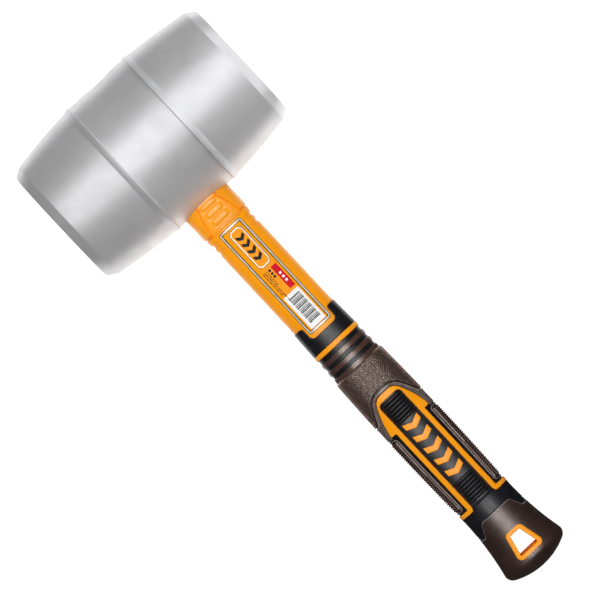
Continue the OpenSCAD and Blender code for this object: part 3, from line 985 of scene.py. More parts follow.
class MALLET_OT_guard(MakePiece):
    """Makes the neck guard with its shield, cross ridges and seams"""

    bl_idname = "mallet.guard"
    bl_label = "Neck guard"

    def execute(self, context):
        shape = context.scene.mallet_shaft
        skin = guard_skin()
        barrel = context.scene.mallet_head.band_d / 2
        count, into_head = 121, 0.3 * MM
        start = plain_ring(0, count)
        start[:, 0] = np.sqrt(barrel**2 - skin.section(*start.T)[1] ** 2) - into_head
        near, far = barrel, GUARD[1].x - 1.2 * MM
        first_ridge, ridge_fade = near + 0.6 * MM, 2 * MM
        ridge_middle = 0.4  # share of a ridge's height that sinks below the shield
        seam_bend = 1.6  # how soon the seams spread; 1 is a straight seam

        def relief(points):
            x = points[:, 0]
            y = skin.off_axis(points)
            t = np.clip((x - near) / (far - near), 0, 1)
            seam = lerp(shape.seam_near, shape.seam_far, 1 - (1 - t) ** seam_bend)
            half = shape.seam_w / 2
            along = (1 - smooth(half * 0.5, half * 1.4, np.abs(y - seam))) * (x < far)
            across = (1 - smooth(half * 0.5, half * 1.4, np.abs(x - far))) * (y > shape.seam_far - half)
            shield = shape.shield_h * (1 - smooth(0, 0.8 * MM, y - seam + half)) * (x < far)
            lip = shape.lip_depth * smooth(-3 * MM, 0, x - far) * (1 - smooth(8 * MM, 10.5 * MM, y))
            height = shield - lip - shape.seam_depth * np.maximum(along, across)
            ends = smooth(near - 0.5 * MM, near, x) * (x < far - 0.4 * MM)
            reach = ends * (1 - smooth(shape.ridge_half, shape.ridge_half + ridge_fade, y))
            ridge = np.abs(np.cos(math.pi * (x - first_ridge) / shape.ridge_pitch))
            return height + shape.ridge_h * reach * (ridge - ridge_middle)

        shell = sleeve(skin, start, plain_ring(GUARD[1].x, count), [(0, 0)], soft_edge(0.9 * MM),
                       3 * MM, relief, pitch=0.22 * MM)
        shell.piece("guard_shell", orange_plastic("guard_plastic", 0.6), "orange_plastic", ["neck_guard"])
        return {"FINISHED"}


class MALLET_OT_jacket(MakePiece):
    """Makes the shaft's jacket with its two pairs of side notches"""

    bl_idname = "mallet.jacket"
    bl_label = "Jacket"

    def execute(self, context):
        shape = context.scene.mallet_shaft
        skin = shaft_skin()
        start, end = GUARD[1].x - 1 * MM, BAND[0].x + 1 * MM
        count, fine_step = 81, 0.22 * MM
        first_notch = GUARD[1].x + 3.6 * MM
        notches = [first_notch, first_notch + shape.notch_pitch]
        flat = 8.6 * MM  # half width of the smooth middle of a broad side

        def relief(points):
            x = points[:, 0]
            y = skin.off_axis(points)
            height = 0.5 * MM * (1 - smooth(0, 4 * MM, x - GUARD[1].x)) * smooth(flat, 11 * MM, y)
            for notch in notches:
                half = shape.notch_w / 2
                across = 1 - smooth(half * 0.75, half * 1.2, np.abs(x - notch))
                height = height - shape.notch_depth * across * smooth(flat, flat + 0.8 * MM, y)
            return height

        fine_end = notches[-1] + 2 * MM
        near = np.arange(start, fine_end, fine_step)
        far = np.linspace(fine_end, end, 40)
        stations = (np.concatenate((near, far)) - start) / (end - start)
        shell = sleeve(skin, plain_ring(start, count), plain_ring(end, count), [(0, 0)], [(0, 0)],
                       3 * MM, relief, stations)
        shell.piece("jacket_shell", orange_plastic(), "orange_plastic", ["shaft_jacket"])
        return {"FINISHED"}


class MALLET_OT_label(MakePiece):
    """Lays the label's film on the jacket: border, field, badge, tag, print and code"""

    bl_idname = "mallet.label"
    bl_label = "Label"

    def execute(self, context):
        skin = shaft_skin()
        low, high = LABEL
        red, orange = tuple(colours().red), tuple(colours().orange)
        dark = ink("dark_ink", (0.02, 0.017, 0.016), 0.35)
        white = ink("white_ink", (0.88, 0.88, 0.88), 0.4)
        field = ink("orange_ink", shade(orange, 0.97), 0.3)
        layer, sunk = 0.05 * MM, 0.2 * MM
        cell = (1.5 * MM, 1.5 * MM)

        def box(low_x, high_x, low_y, high_y, radius):
            plan = box_outline(low_x, high_x, low_y, high_y, radius)
            return skin.on_surface(resampled(plan, 0.5 * MM))

        def patch(low_x, high_x, low_y, high_y, radius, height):
            return plate(skin, box(low_x, high_x, low_y, high_y, radius),
                         [(0, height - layer), (0.05 * MM, height)], sunk, cell=cell, step=1.2 * MM)

        def border(low_x, high_x, low_y, high_y, radius, width, height):
            section = [(0, -layer), (0, height - layer), (0.3 * width, height), (0.7 * width, height),
                       (width, height - layer), (width, -layer)]
            return rim(skin, box(low_x, high_x, low_y, high_y, radius), section)

        line, band = 0.28 * MM, 0.95 * MM
        inner = 2 * line + band
        patch(low.x, high.x, low.y, high.y, 1.3 * MM, 2 * layer).piece(
            "label_film", dark, "label_film", ["label_front"])
        border(low.x + line, high.x - line, low.y + line, high.y - line, 1.1 * MM, band, 5 * layer).piece(
            "label_border", silver_foil(), "label_film")
        patch(low.x + inner, high.x - inner, low.y + inner, high.y - inner, 0.5 * MM, 3 * layer).piece(
            "label_field", field, "label_film")

        # The badge: a panel with cut corners, a silver rim and dark chevrons.
        left, right, bottom, top = low.x + 2.6 * MM, low.x + 27 * MM, -3.5 * MM, 4.6 * MM

        def badge(margin):
            x0, x1, y0, y1 = left + margin, right - margin, bottom + margin, top - margin
            cut_off, soft = 1.8 * MM - 0.6 * margin, 0.25 * MM
            corners = [(x0 + cut_off, y0), (x1 - cut_off, y0), (x1, y0 + cut_off), (x1, y1 - cut_off),
                       (x1 - cut_off, y1), (x0 + cut_off, y1), (x0, y1 - cut_off), (x0, y0 + cut_off)]
            plan = rounded([(x, y, soft) for x, y in corners], segments=3)
            return skin.on_surface(resampled(plan, 0.5 * MM))

        def film_edge(layers):
            return [(0, layers * layer), (0.03 * MM, (layers + 1) * layer)]

        films = (("badge_line", 0, 3, dark), ("badge_rim", 0.25 * MM, 5, silver_foil()),
                 ("badge_field", 0.85 * MM, 6, field))
        for name, margin, layers, finish in films:
            plate(skin, badge(margin), film_edge(layers), sunk, cell=cell).piece(name, finish, "label_film")
        chevrons = Shell()
        middle = (bottom + top) / 2
        half, bar, tip = 2.4 * MM, 2.1 * MM, 1.7 * MM
        for i in range(4):
            x = left + (3.6 + 4.3 * i) * MM
            chevrons.join(chevron(skin, x, middle, half, bar, tip, film_edge(7), sunk))
        chevrons.piece("badge_chevrons", dark, "label_film")

        # The tag, the printed lines under it and the code patch.
        tag_x, tag_l = low.x + 29 * MM, 14.5 * MM
        patch(tag_x, tag_x + tag_l, 1.3 * MM, 4.7 * MM, 0.15 * MM, 4 * layer).piece(
            "label_tag", ink("red_ink", red, 0.35), "label_film")
        pips = Shell()
        pip = 1.3 * MM
        for i in range(3):
            x = tag_x + (4.6 + 2.3 * i) * MM
            pips.join(patch(x, x + pip, 2.35 * MM, 3.65 * MM, 0.3 * MM, 5 * layer))
        pips.piece("tag_pips", white, "label_film")
        print_lines = Shell()
        mark, dash_h, dash_gap = 1.4 * MM, 0.42 * MM, 0.45 * MM
        for i in range(3):
            x = tag_x + (0.3 + 1.9 * i) * MM
            print_lines.join(patch(x, x + mark, -0.9 * MM, 0.5 * MM, 0.45 * MM, 4 * layer))
        for row in range(3):
            x = tag_x + 0.2 * MM
            for k in range(6):
                dash = (1.1 + 0.9 * ((3 * k + 2 * row) % 3)) * MM
                y = (-1.5 - 1.05 * row) * MM
                print_lines.join(patch(x, x + dash, y - dash_h, y, 0, 4 * layer))
                x += dash + dash_gap
        print_lines.piece("label_print", dark, "label_film")
        code_x, code_l, code_half = high.x - 22.5 * MM, 20.7 * MM, 4.8 * MM
        patch(code_x, code_x + code_l, -code_half, code_half, 0.2 * MM, 4 * layer).piece(
            "code_patch", white, "label_film")
        bars = Shell()
        x = code_x + 2.2 * MM
        for k in range(22):
            width = (0.2 + 0.14 * ((5 * k + 3) % 4)) * MM
            bars.join(patch(x, x + width, -3.1 * MM, 3.6 * MM, 0, 5 * layer))
            x += width + (0.2 + 0.09 * ((3 * k) % 4)) * MM
        bars.piece("code_bars", dark, "label_film")
        return {"FINISHED"}


def chevron(skin, x, y, half, bar, tip, edge, depth, cell=1.0 * MM):
    """Plate shaped as a chevron that points along the handle."""
    corners = [(x, y - half, 0), (x + bar, y - half, 0), (x + bar + tip, y, 0), (x + bar, y + half, 0),
               (x, y + half, 0), (x + tip, y, 0)]
    outline = skin.on_surface(resampled(rounded(corners), 0.5 * MM))
    return plate(skin, outline, edge, depth, cell=(cell, cell))


class MALLET_OT_collar(MakePiece):
    """Makes the black collar with its side tabs round an orange tongue"""

    bl_idname = "mallet.collar"
    bl_label = "Collar"

    def execute(self, context):
        shape = context.scene.mallet_shaft
        skin = collar_skin()
        tongue, radius = shape.tongue_w / 2, shape.tongue_r
        start_x = COLLAR[0].x
        plan = rounded([(shape.tongue_end, 0, 0), (shape.tongue_end, tongue, radius),
                        (start_x, tongue, 1.6 * MM), (start_x, tongue + 4 * MM, 0)], closed=False)
        line = skin.on_surface(plan)
        count = 141
        line = even(np.concatenate((line, [(start_x, SIDE)])), count)
        line[-1] = (start_x, SIDE)
        end = plain_ring(COLLAR[1].x, count)
        end[:, 1] = lerp(end[:, 1], line[:, 1], 0.85)
        edge = [(0, -0.2 * MM), *soft_edge(0.35 * MM, 0.05 * MM), (0.9 * MM, 0)]
        shell = sleeve(skin, line, end, edge, soft_edge(0.3 * MM), 2 * MM)
        shell.piece("collar_shell", black_plastic(), "black_plastic", ["shaft_collar"])
        return {"FINISHED"}


class MALLET_OT_ring_band(MakePiece):
    """Makes the crowned orange band between the collar and the grip"""

    bl_idname = "mallet.ring_band"
    bl_label = "Ring band"

    def execute(self, context):
        start, end = BAND[0].x, BAND[1].x
        middle = (start + end) / 2
        crown_h = 0.25 * MM

        def crown(points):
            return crown_h * (1 - ((points[:, 0] - middle) / (end - middle)) ** 2)

        shell = sleeve(grip_skin(), plain_ring(start), plain_ring(end), soft_edge(0.2 * MM),
                       soft_edge(0.2 * MM), 2 * MM, crown, pitch=0.3 * MM)
        shell.piece("band_ring", orange_plastic(), "orange_plastic", ["ring_band"])
        return {"FINISHED"}


def shoulder_plan(gap, gain=0.0):
    """Half outline round a frame's shoulders in plan, moved outwards by gap, which grows by gain."""
    shape = bpy.context.scene.mallet_grip
    turn, radius = shape.front_turn, shape.front_r
    rise = math.pi / 2 - turn
    centre = np.array((FRAME[0].x + radius, shape.front_flat))
    start = centre + radius * np.array((-math.sin(rise), math.cos(rise)))
    leg = np.array((shape.shoulder_end, shape.shoulder_w / 2)) - start
    sweep = 2 * (rise - math.atan2(leg[1], leg[0]))
    long_r = np.linalg.norm(leg) / (2 * math.sin(sweep / 2))
    middle = start + long_r * np.array((math.sin(rise), -math.cos(rise)))
    corner = arc(centre, radius, 180, 180 - math.degrees(turn))
    stretch = arc(middle, long_r, 90 + math.degrees(rise), 90 + math.degrees(rise - sweep), 20)
    line = np.concatenate(([(FRAME[0].x, 0)], corner, stretch[1:]))
    if gap == 0:
        return line
    middles = np.concatenate(([(-1, 0)], (corner - centre) / radius, (stretch[1:] - middle) / long_r))
    along = (line[:, 0] - line[0, 0]) / (line[-1, 0] - line[0, 0])
    return line + middles * (gap + gain * along)[:, None]


def arch_line(skin, gap, gain, side_x, count):
    """Quarter line of the arch that ends the grained sleeve, carried round to the narrow side."""
    plan = shoulder_plan(gap, gain)
    plan = plan[plan[:, 0] < side_x - 2 * MM]
    line = skin.on_surface(plan)
    last, leg = line[-1], line[-1] - line[-2]
    bend = last + leg * (side_x - last[0]) / leg[0]
    t = np.linspace(0, 1, 16)[1:, None]
    closing = last * (1 - t) ** 2 + bend * 2 * t * (1 - t) + np.array((side_x, SIDE)) * t**2
    return even(np.concatenate((line, closing)), count)


class MALLET_OT_grip_sleeve(MakePiece):
    """Makes the soft sleeve: its ring end and grained stretch, and the smooth saddle behind its arch"""

    bl_idname = "mallet.grip_sleeve"
    bl_label = "Grip sleeve"

    def execute(self, context):
        shape = context.scene.mallet_grip
        skin = grip_skin()
        start, count = SLEEVE[0].x, 111
        wall = 2.5 * MM
        groove_flat, groove_end = 0.15, 0.25  # shares of the pitch, from a groove's middle
        dark_gap, saddle_sink = 0.9 * MM, 0.35 * MM
        pitch = (shape.sleeve_start - start) / shape.rings
        grooves = [start + (i + shape.ring_phase) * pitch for i in range(shape.rings)]

        def rings(points):
            height = np.zeros(len(points))
            for groove in grooves:
                gap = np.abs(points[:, 0] - groove)
                height -= shape.ring_depth * (1 - smooth(groove_flat * pitch, groove_end * pitch, gap))
            return height

        middle = shape.sleeve_start + 0.6 * shape.ring_step
        shell = sleeve(skin, plain_ring(start), plain_ring(middle), soft_edge(0.3 * MM), [(0, 0)],
                       wall, rings, pitch=0.16 * MM)
        # The ring end's brown is lifted 2.2 times. Part of this is a lighter tone than the cap's rubber, and
        # part is a painted highlight on the rings.
        shell.piece("sleeve_rings", smooth_rubber("sleeve_rubber", 2.2, 0.25), "grip_rubber", ["grip_sleeve"])

        arch = arch_line(skin, shape.arch_gap + dark_gap, shape.arch_gain, shape.arch_side - dark_gap, count)
        begin = plain_ring(middle, count)
        begin[:, 1] = lerp(begin[:, 1], arch[:, 1], 0.6)
        shell = sleeve(skin, begin, arch, [(0, 0)], [(0, -0.8 * MM), *soft_edge(0.4 * MM)], wall)
        shell.piece("sleeve_grained", grained_rubber(), "grip_rubber", ["grip_sleeve"])

        inner = shoulder_plan(0.5 * MM, 0.2 * MM)
        inner = np.concatenate((inner, [(SLEEVE[1].x, inner[-1][1])]))
        line = skin.on_surface(inner)
        inner_line = even(np.concatenate((line, [(SLEEVE[1].x, SIDE)])), count)
        outer_line = arch_line(skin, shape.arch_gap, shape.arch_gain, shape.arch_side, count)
        bead_end = arch_line(skin, shape.arch_gap - shape.bead_w, shape.arch_gain,
                             shape.arch_side + shape.bead_w, count)
        side = bead_side(shape.bead_w, shape.bead_h, 0.05 * MM)
        bead = sleeve(skin, outer_line, bead_end, side, side, wall)
        # The sleeve bead's pale tone is a painted highlight.
        bead.piece("sleeve_bead", bead_rubber(), "grip_rubber")
        # The saddle's pale brown, 0.13, is a painted highlight on its smooth rubber.
        shell = sleeve(skin, outer_line, inner_line, [(0, -saddle_sink)],
                       soft_edge(0.2 * MM, -saddle_sink), wall)
        shell.piece("sleeve_saddle", bead_rubber("saddle_rubber", 0.13), "grip_rubber", ["grip_sleeve"])
        return {"FINISHED"}


def frame_outline(skin):
    """Outline of a frame on the surface: shoulders, bars, and feet that turn out to the narrow sides."""
    shape = bpy.context.scene.mallet_grip
    half, inner = shape.frame_w / 2, shape.frame_w / 2 - shape.bar
    end, foot = FRAME[1].x, FRAME[1].x - shape.foot_w
    shoulder = shoulder_plan(0)
    reach = 14.2 * MM  # where a foot passes out of the plan and runs on round the side
    foot_end = SIDE - 0.15 * MM
    front = FRAME[0].x + shape.front_bar
    bars = rounded([(*shoulder[-2], 0), (*shoulder[-1], 0.5 * MM), (shoulder[-1][0], half, 0.3 * MM),
                    (foot, half, 0.6 * MM), (foot, reach, 0)], closed=False)
    window = rounded([(end, reach, 0), (end, inner, 1.9 * MM), (front, inner, shape.window_r),
                      (front, 0, 0)], closed=False)
    outer = skin.on_surface(resampled_line(np.concatenate((shoulder[:-1], bars[1:])), 0.7 * MM))
    window = skin.on_surface(resampled_line(window, 0.7 * MM))
    half_line = np.concatenate((outer, [(foot, foot_end), (end, foot_end)], window))
    return np.concatenate((half_line, (half_line * (1, -1))[-2:0:-1]))


class MALLET_OT_frames(MakePiece):
    """Makes the two orange frames of the grip"""

    bl_idname = "mallet.frames"
    bl_label = "Frames"

    def execute(self, context):
        skin = grip_skin()
        shell = plate(skin, frame_outline(skin), soft_edge(0.3 * MM, 0.05 * MM), 2 * MM)
        shell.twins(2, ("frame_moulding_front", "frame_moulding_back"), orange_plastic(), "orange_plastic",
                    (["frame_front"], ["frame_back"]))
        return {"FINISHED"}


class MALLET_OT_panels(MakePiece):
    """Makes the two black panels with a zone of fine bars at each end"""

    bl_idname = "mallet.panels"
    bl_label = "Panels"

    def execute(self, context):
        shape = context.scene.mallet_grip
        skin = grip_skin()
        half = shape.frame_w / 2 - shape.bar + 0.2 * MM
        start, end = PANEL[0].x, PANEL[1].x
        length_of_zone = shape.bars_per_zone * shape.bar_pitch
        zones = [start + 0.9 * MM, end - 3.4 * MM - length_of_zone]
        bar_ends = (5.9 * MM, 6.5 * MM)
        tail_rise = (end - 3.2 * MM, end - 0.2 * MM)

        def relief(points):
            x = points[:, 0]
            height = shape.panel_sink * smooth(*tail_rise, x)
            side = 1 - smooth(*bar_ends, skin.off_axis(points))
            for zone in zones:
                t = (x - zone) / shape.bar_pitch
                in_zone = (t > 0) & (t < shape.bars_per_zone)
                height = height + shape.bar_h * side * in_zone * np.abs(np.sin(math.pi * t))
            return height

        plan = box_outline(start - 0.2 * MM, end, -half, half, 0.3 * MM)
        outline = skin.on_surface(resampled(plan, 0.6 * MM))
        shell = plate(skin, outline, [(0.02 * MM, -shape.panel_sink)], 2.6 * MM, relief,
                      cell=(0.19 * MM, 0.9 * MM), step=0.4 * MM)
        shell.twins(2, ("panel_moulding_front", "panel_moulding_back"), black_plastic(), "black_plastic",
                    (["panel_front"], ["panel_back"]), 60)
        return {"FINISHED"}


class MALLET_OT_motifs(MakePiece):
    """Makes the two rows of raised orange chevrons"""

    bl_idname = "mallet.motifs"
    bl_label = "Motifs"

    def execute(self, context):
        shape = context.scene.mallet_grip
        skin = grip_skin()
        gap = 0.35  # share of the pitch that lies between two chevrons
        pitch = (MOTIF[1].x - MOTIF[0].x) / (shape.chevrons - gap)
        tip, edge = 2.1 * MM, soft_edge(0.3 * MM, -0.1 * MM)
        shell = Shell()
        for i in range(shape.chevrons):
            x = MOTIF[0].x + i * pitch
            shell.join(chevron(skin, x, 0, MOTIF[1].y, shape.chevron_bar, tip, edge, 1.8 * MM, 0.6 * MM))
        shell.twins(2, ("motif_front_chevrons", "motif_back_chevrons"), orange_plastic(), "orange_plastic",
                    (["motif_front"], ["motif_back"]))
        return {"FINISHED"}


class MALLET_OT_side_pads(MakePiece):
    """Makes the two soft side pads with a bead round a field of fine ribs"""

    bl_idname = "mallet.side_pads"
    bl_label = "Side pads"

    def execute(self, context):
        shape = context.scene.mallet_grip
        skin = grip_skin()
        corner = skin.on_surface(np.array([(PAD[0].x, PAD[0].y)]))[0, 1]
        half = SIDE - corner
        outline = box_outline(PAD[0].x, PAD[1].x, SIDE - half, SIDE + half, 2.2 * MM)

        # Where each part of the relief starts or stops, by its distance from the pad's end or middle.
        ends = (1.2 * MM, 1.5 * MM)
        rail_near, rail_far = (1.8 * MM, 2.0 * MM), (2.5 * MM, 2.7 * MM)
        field_far = (1.2 * MM, 1.4 * MM)

        def relief(points):
            x = points[:, 0]
            from_end = np.minimum(x - PAD[0].x, PAD[1].x - x)
            from_side = skin.half_width(x) - skin.off_axis(points)
            within = smooth(*ends, from_end)
            rail = smooth(*rail_near, from_side) * (1 - smooth(*rail_far, from_side))
            field = 1 - smooth(*field_far, from_side)
            wave = np.cos(2 * math.pi * (x - PAD[0].x) / shape.pad_pitch)
            return within * (shape.pad_rail * rail + field * (shape.pad_field + shape.pad_rib * wave))

        edge = [(0.1 * MM, -shape.pad_depth)]
        side = bead_side(shape.bead_w, shape.bead_h, -0.15 * MM)
        section = side + [(shape.bead_w - distance, height) for distance, height in reversed(side)]
        bead = rim(skin, outline, section, 0.4 * MM)
        # The pad beads' pale tone is a painted highlight.
        bead.twins(1, ("pad_left_bead", "pad_right_bead"), bead_rubber("pad_bead_rubber", 0.2), "grip_rubber")
        black_gap = 0.35 * MM
        inner = offset(anticlockwise(resampled(outline, 0.4 * MM)), shape.bead_w + black_gap)
        shell = plate(skin, inner, edge, 2.4 * MM, relief, cell=(0.2 * MM, 0.3 * MM), step=0.4 * MM)
        shell.twins(1, ("pad_left", "pad_right"), smooth_rubber("pad_rubber", 1.8), "grip_rubber",
                    (["side_pad_left"], ["side_pad_right"]), 60)
        return {"FINISHED"}


def cap_line(skin, gap, count):
    """Quarter line of the butt cap's front edge, moved towards the head by gap."""
    shape = bpy.context.scene.mallet_grip
    plan = rounded([(CAP[0].x - gap, 0, 0), (CAP[0].x - gap, shape.cap_near, 2.0 * MM),
                    (shape.cap_start - gap, shape.cap_shoulder, 1.5 * MM),
                    (shape.cap_start - gap, shape.cap_shoulder + 1.6 * MM, 0)], closed=False)
    line = skin.on_surface(resampled_line(plan, 0.4 * MM))
    return even(np.concatenate((line, [(shape.cap_start - gap, SIDE)])), count)


class MALLET_OT_grip_body(MakePiece):
    """Makes the black moulding under the grip: its channels and its tail"""

    bl_idname = "mallet.grip_body"
    bl_label = "Grip body"

    def execute(self, context):
        shape = context.scene.mallet_grip
        skin = grip_skin()
        frame_end = FRAME[1].x
        window = shape.frame_w / 2 - shape.bar / 2
        below_panel, blend = 2.3 * MM, 0.5 * MM

        def channel(points):
            under = 1 - smooth(window - blend, window + blend, skin.off_axis(points))
            return -lerp(shape.body_sink, below_panel, under)

        start = shape.sleeve_start + 6 * MM
        channels = sleeve(skin, plain_ring(start), plain_ring(frame_end - 0.6 * MM), [(0, 0)], [(0, 0)],
                          4 * MM, channel, pitch=1.5 * MM)

        def ring_base(points):
            return np.full(len(points), -shape.ring_base)

        base = sleeve(skin, plain_ring(SLEEVE[0].x), plain_ring(shape.sleeve_start), [(0, 0)], [(0, 0)],
                      3 * MM, ring_base, pitch=1.5 * MM)
        channels.join(base)

        groove_places = (shape.cap_start - 2.3 * MM, shape.cap_start - 1.0 * MM)
        groove_depth = 0.35 * MM

        def side_grooves(points):
            x, s = points.T
            side = smooth(15 * MM, 16 * MM, np.minimum(np.abs(s), 2 * SIDE - np.abs(s)))
            height = np.zeros(len(points))
            for place in groove_places:
                height -= groove_depth * side * (1 - smooth(0.15 * MM, 0.4 * MM, np.abs(x - place)))
            return height

        count = 81
        end = cap_line(skin, 0.12 * MM, count)
        begin = plain_ring(frame_end, count)
        begin[:, 1] = lerp(begin[:, 1], end[:, 1], 0.7)
        tail = sleeve(skin, begin, end, [(0, -0.1 * MM), (0.1 * MM, 0)], [(0, -0.3 * MM), (0.3 * MM, 0)],
                      3.5 * MM, side_grooves, pitch=0.25 * MM)
        tail.join(channels).piece("grip_moulding", black_plastic(), "black_plastic", ["grip_body"])
        return {"FINISHED"}


def liner_plan():
    """Outline of the hang hole's liner in plan."""
    shape = bpy.context.scene.mallet_grip
    near, far, radius = shape.liner_narrow / 2, LINER[1].y, 2.6 * MM
    end = LINER[1].x - 0.7 * MM
    return rounded([(LINER[0].x, -near, radius), (end, -far, radius), (end, far, radius),
                    (LINER[0].x, near, radius)])


class MALLET_OT_butt_cap(MakePiece):
    """Makes the flared butt cap with its tongues and opens the hang hole"""

    bl_idname = "mallet.butt_cap"
    bl_label = "Butt cap"

    def execute(self, context):
        shape = context.scene.mallet_grip
        skin = grip_skin()
        count = 101
        line = cap_line(skin, 0, count)
        shell = Shell()
        first = round_line(line)
        back = round_line(plain_ring(CAP[1].x, count) * (1, 0) + line * (0, 1))
        inner = skin.places(first, -3 * MM)
        rows = [shell.add(np.array([(shape.cap_start, 0, 0)] * len(first))), shell.add(inner)]
        side = bead_side(shape.bead_w, shape.bead_h, 0.1 * MM)
        wall, play = 2.5 * MM, 0.15 * MM
        bead = sleeve(skin, line, cap_line(skin, -shape.bead_w, count), side, side, wall)
        # The cap bead's pale tone is a painted highlight.
        bead.piece("cap_bead", bead_rubber(), "grip_rubber")
        edge = [(0.1 * MM, -0.4 * MM), (0.1 * MM, -0.1 * MM), (0.3 * MM, 0)]
        for distance, height in edge:
            ring = offset(first, -distance, LAP)
            rows.append(shell.add(skin.places(ring, height)))
        for t in np.linspace(0, 1, 91)[1:]:
            rows.append(shell.add(skin.places(lerp(ring, back, 1 - (1 - t) ** 2), 0)))
        shell.rows(rows, closed=False)

        hole = Shell()
        plan = resampled(anticlockwise(liner_plan()), 0.8 * MM)
        plan = offset(plan, play)
        beyond = 1.5 * CAP[1].z
        loops = [hole.add(np.column_stack((plan, np.full(len(plan), z)))) for z in (-beyond, beyond)]
        hole.rows(loops, closed=False)
        hole.faces += [tuple(loop.tolist()) for loop in loops]
        shell.piece("cap_rubber", smooth_rubber(), "grip_rubber", ["butt_cap"], 40, hole)
        return {"FINISHED"}


class MALLET_OT_hole_liner(MakePiece):
    """Makes the orange liner of the hang hole, with a soft lip on each broad side"""

    bl_idname = "mallet.hole_liner"
    bl_label = "Hole liner"

    def execute(self, context):
        shape = context.scene.mallet_grip
        skin = grip_skin()
        plan = resampled(anticlockwise(liner_plan()), 0.5 * MM)
        wall = shape.liner_wall
        shell = Shell()
        lip = [(0, -0.4 * MM), (0, -0.15 * MM), (0.15 * MM, 0.03 * MM), (0.4 * MM, 0.09 * MM),
               (wall - 0.55 * MM, 0.09 * MM), (wall - 0.25 * MM, 0), (wall - 0.05 * MM, -0.25 * MM),
               (wall, -0.7 * MM)]
        front = [skin.places(skin.on_surface(offset(plan, d)), h) for d, h in lip]
        back = [places * (1, 1, -1) for places in reversed(front)]
        middle = front[-1] * (1, 1, 0)
        shell.rows([shell.add(places) for places in (*front, middle, *back)], closed=True)
        shell.piece("liner_ring", orange_plastic(), "orange_plastic", ["hole_liner"])
        return {"FINISHED"}


# ---------------------------------------------------------------- stage


STAGE = ("floor", "backdrop")
HEAD_PIECES = ("head", "rubber_head", "eye_plug")


def stage_ring(name, low, high, finish):
    """Ring round the head's axis between two circles, each given as (radius, height)."""
    count = 96
    turn = np.linspace(0, 2 * math.pi, count, endpoint=False)
    x, y = (LYING @ Vector((0, 0, 0))).xy
    rows = [np.column_stack((x + r * np.cos(turn), y + r * np.sin(turn), np.full(count, z)))
            for r, z in (low, high)]
    faces = [(i, (i + 1) % count, count + (i + 1) % count, count + i) for i in range(count)]
    mesh = bpy.data.meshes.new(name)
    mesh.from_pydata(np.concatenate(rows).tolist(), [], faces)
    mesh.materials.append(finish)
    made = bpy.data.objects.new(name, mesh)
    bpy.context.scene.collection.objects.link(made)
    return made


def soft_light(name, power, size, aim, offset_by, lit):
    """Rectangular lamp that faces aim, isn't seen by the camera and lights only the given pieces."""
    light = bpy.data.lights.new(name, "AREA")
    light.shape = "RECTANGLE"
    light.size, light.size_y = size
    light.energy = power
    made = bpy.data.objects.new(name, light)
    made.location = aim + offset_by
    away = offset_by.normalized()
    along = Vector((1, 0, 0))
    made.rotation_mode = "QUATERNION"
    made.rotation_quaternion = Matrix((along, away.cross(along), away)).transposed().to_quaternion()
    made.visible_camera = False
    group = bpy.data.collections.new(name + "_pieces")
    for piece in lit:
        group.objects.link(piece)
    made.light_linking.receiver_collection = group
    bpy.context.scene.collection.objects.link(made)


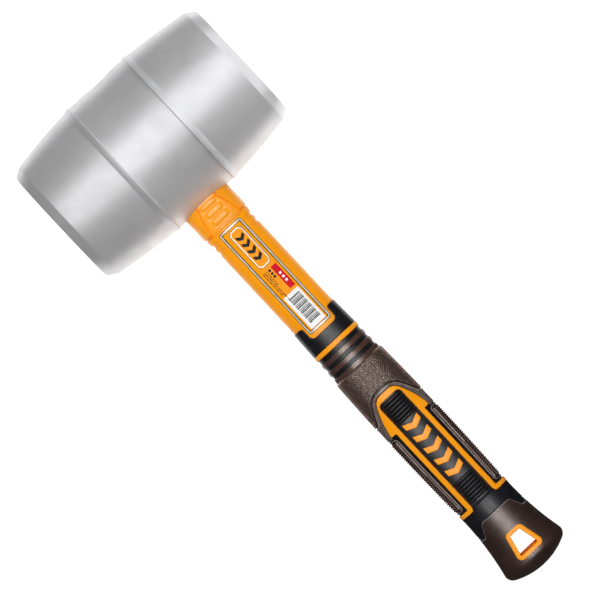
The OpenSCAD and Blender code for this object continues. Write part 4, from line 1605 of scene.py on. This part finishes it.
class MALLET_OT_stage(MakePiece):
    """Makes the floor, the backdrop, the lights and the camera"""

    bl_idname = "mallet.stage"
    bl_label = "Stage"

    def execute(self, context):
        stage = context.scene.mallet_stage
        pale = tuple(stage.paper)
        edge = stage.floor / 2
        glass = self.paper("table_glass", pale, stage.table_glow)
        stage_ring("floor_near", (0, 0), (stage.table, 0), glass)
        floor_paper = self.paper("floor_paper", pale, stage.glow)
        far = stage_ring("floor_far", (stage.table, 0), (edge, 0), floor_paper)
        far.visible_glossy = False
        paper = Finish("backdrop_paper", Emission_Color=pale, Emission_Strength=1.0)
        near_edge = 0.98 * edge
        wall = stage_ring("backdrop", (near_edge, 0), (near_edge, edge), paper.done((0, 0, 0), 1.0))
        wall.visible_diffuse = wall.visible_glossy = wall.visible_transmission = wall.visible_shadow = False
        self.sky(context.scene, stage)
        meshes = [made for made in context.scene.objects if made.type == "MESH"]
        pieces = [made for made in meshes if not made.name.startswith(STAGE)]
        head = [made for made in pieces if made.name.startswith(HEAD_PIECES)]
        up = Vector((0, 0, stage.lamp_height))
        middle = LYING @ Vector((0, stage.head_lamp_shift, 0))
        size = (stage.head_lamp_along, stage.head_lamp_across)
        soft_light("head_lamp", stage.head_lamp, size, middle, up, head)
        low = Vector((0, math.sin(stage.side_tilt), math.cos(stage.side_tilt)))
        soft_light("side_lamp", stage.side_lamp, (stage.side_lamp_along, stage.side_lamp_across),
                   LYING @ Vector((0, 0, 0)), low * stage.lamp_height, head)
        soft_light("handle_lamp", stage.grip_lamp, (stage.grip_lamp_along, stage.grip_lamp_across),
                   LYING @ Vector((JACKET[1].x, 0, 0)), up, [made for made in pieces if made not in head])
        self.camera(context.scene, stage)
        context.scene.view_settings.view_transform = "Standard"
        return {"FINISHED"}

    def paper(self, name, pale, glow):
        """Pale paper with fine fibres, lit from below."""
        paper = Finish(name, Emission_Color=(1, 1, 1), Emission_Strength=glow)
        fibres = paper.ramp(paper.noise(3 * MM, 3), 0, 1)
        return paper.done(paper.mix(fibres, shade(pale, 0.985), pale), 0.9)

    def sky(self, scene, stage):
        """Even sky that is dim at the horizon and bright overhead."""
        world = bpy.data.worlds.new("studio")
        scene.world = world
        world.use_nodes = True
        tree = world.node_tree
        place = tree.nodes.new("ShaderNodeTexCoord")
        split = tree.nodes.new("ShaderNodeSeparateXYZ")
        rise = tree.nodes.new("ShaderNodeMapRange")
        rise.interpolation_type = "SMOOTHSTEP"
        tree.links.new(place.outputs["Generated"], split.inputs[0])
        tree.links.new(split.outputs["Z"], rise.inputs["Value"])
        limits = {"From Min": 0.0, "From Max": 0.9, "To Min": stage.horizon, "To Max": stage.zenith}
        for name, value in limits.items():
            rise.inputs[name].default_value = value
        tree.links.new(rise.outputs[0], tree.nodes["Background"].inputs["Strength"])
        tree.nodes["Background"].inputs["Color"].default_value = (1, 1, 1, 1)

    def camera(self, scene, stage):
        """Camera square to the label side, turned so that the handle runs down to the right."""
        data = bpy.data.cameras.new("camera")
        data.sensor_width = 36
        data.lens = data.sensor_width * stage.distance / stage.width
        data.clip_end = 100
        camera = bpy.data.objects.new("camera", data)
        sine, cosine = math.sin(stage.turn), math.cos(stage.turn)
        right, up, back = Vector((cosine, sine, 0)), Vector((-sine, cosine, 0)), Vector((0, 0, 1))
        own = Matrix((right, up, back)).transposed().to_4x4()
        own.translation = Vector((stage.along, stage.across, stage.distance))
        camera.matrix_world = LYING @ own
        scene.collection.objects.link(camera)
        scene.camera = camera


# ---------------------------------------------------------------- panel, registration and main

STEPS = [MALLET_OT_head, MALLET_OT_core, MALLET_OT_guard, MALLET_OT_jacket, MALLET_OT_label, MALLET_OT_collar,
         MALLET_OT_ring_band, MALLET_OT_grip_body, MALLET_OT_grip_sleeve, MALLET_OT_frames, MALLET_OT_panels,
         MALLET_OT_motifs, MALLET_OT_side_pads, MALLET_OT_butt_cap, MALLET_OT_hole_liner, MALLET_OT_stage]


class MALLET_PT_sidebar(bpy.types.Panel):
    """Lists the pieces of the mallet"""

    bl_label = "Rubber Mallet"
    bl_idname = "MALLET_PT_sidebar"
    bl_space_type = "VIEW_3D"
    bl_region_type = "UI"
    bl_category = "Mallet"

    def draw(self, context):
        for step in STEPS:
            self.layout.operator(step.bl_idname, text=step.bl_label)


def register():
    for group in GROUPS.values():
        bpy.utils.register_class(group)
    for name, group in GROUPS.items():
        setattr(bpy.types.Scene, name, PointerProperty(type=group))
    for step in STEPS:
        bpy.utils.register_class(step)
    bpy.utils.register_class(MALLET_PT_sidebar)


def unregister():
    bpy.utils.unregister_class(MALLET_PT_sidebar)
    for step in reversed(STEPS):
        bpy.utils.unregister_class(step)
    for name, group in GROUPS.items():
        delattr(bpy.types.Scene, name)
        bpy.utils.unregister_class(group)


def main():
    register()
    for step in STEPS:
        group, name = step.bl_idname.split(".")
        getattr(getattr(bpy.ops, group), name)()


if __name__ == "__main__":
    main()
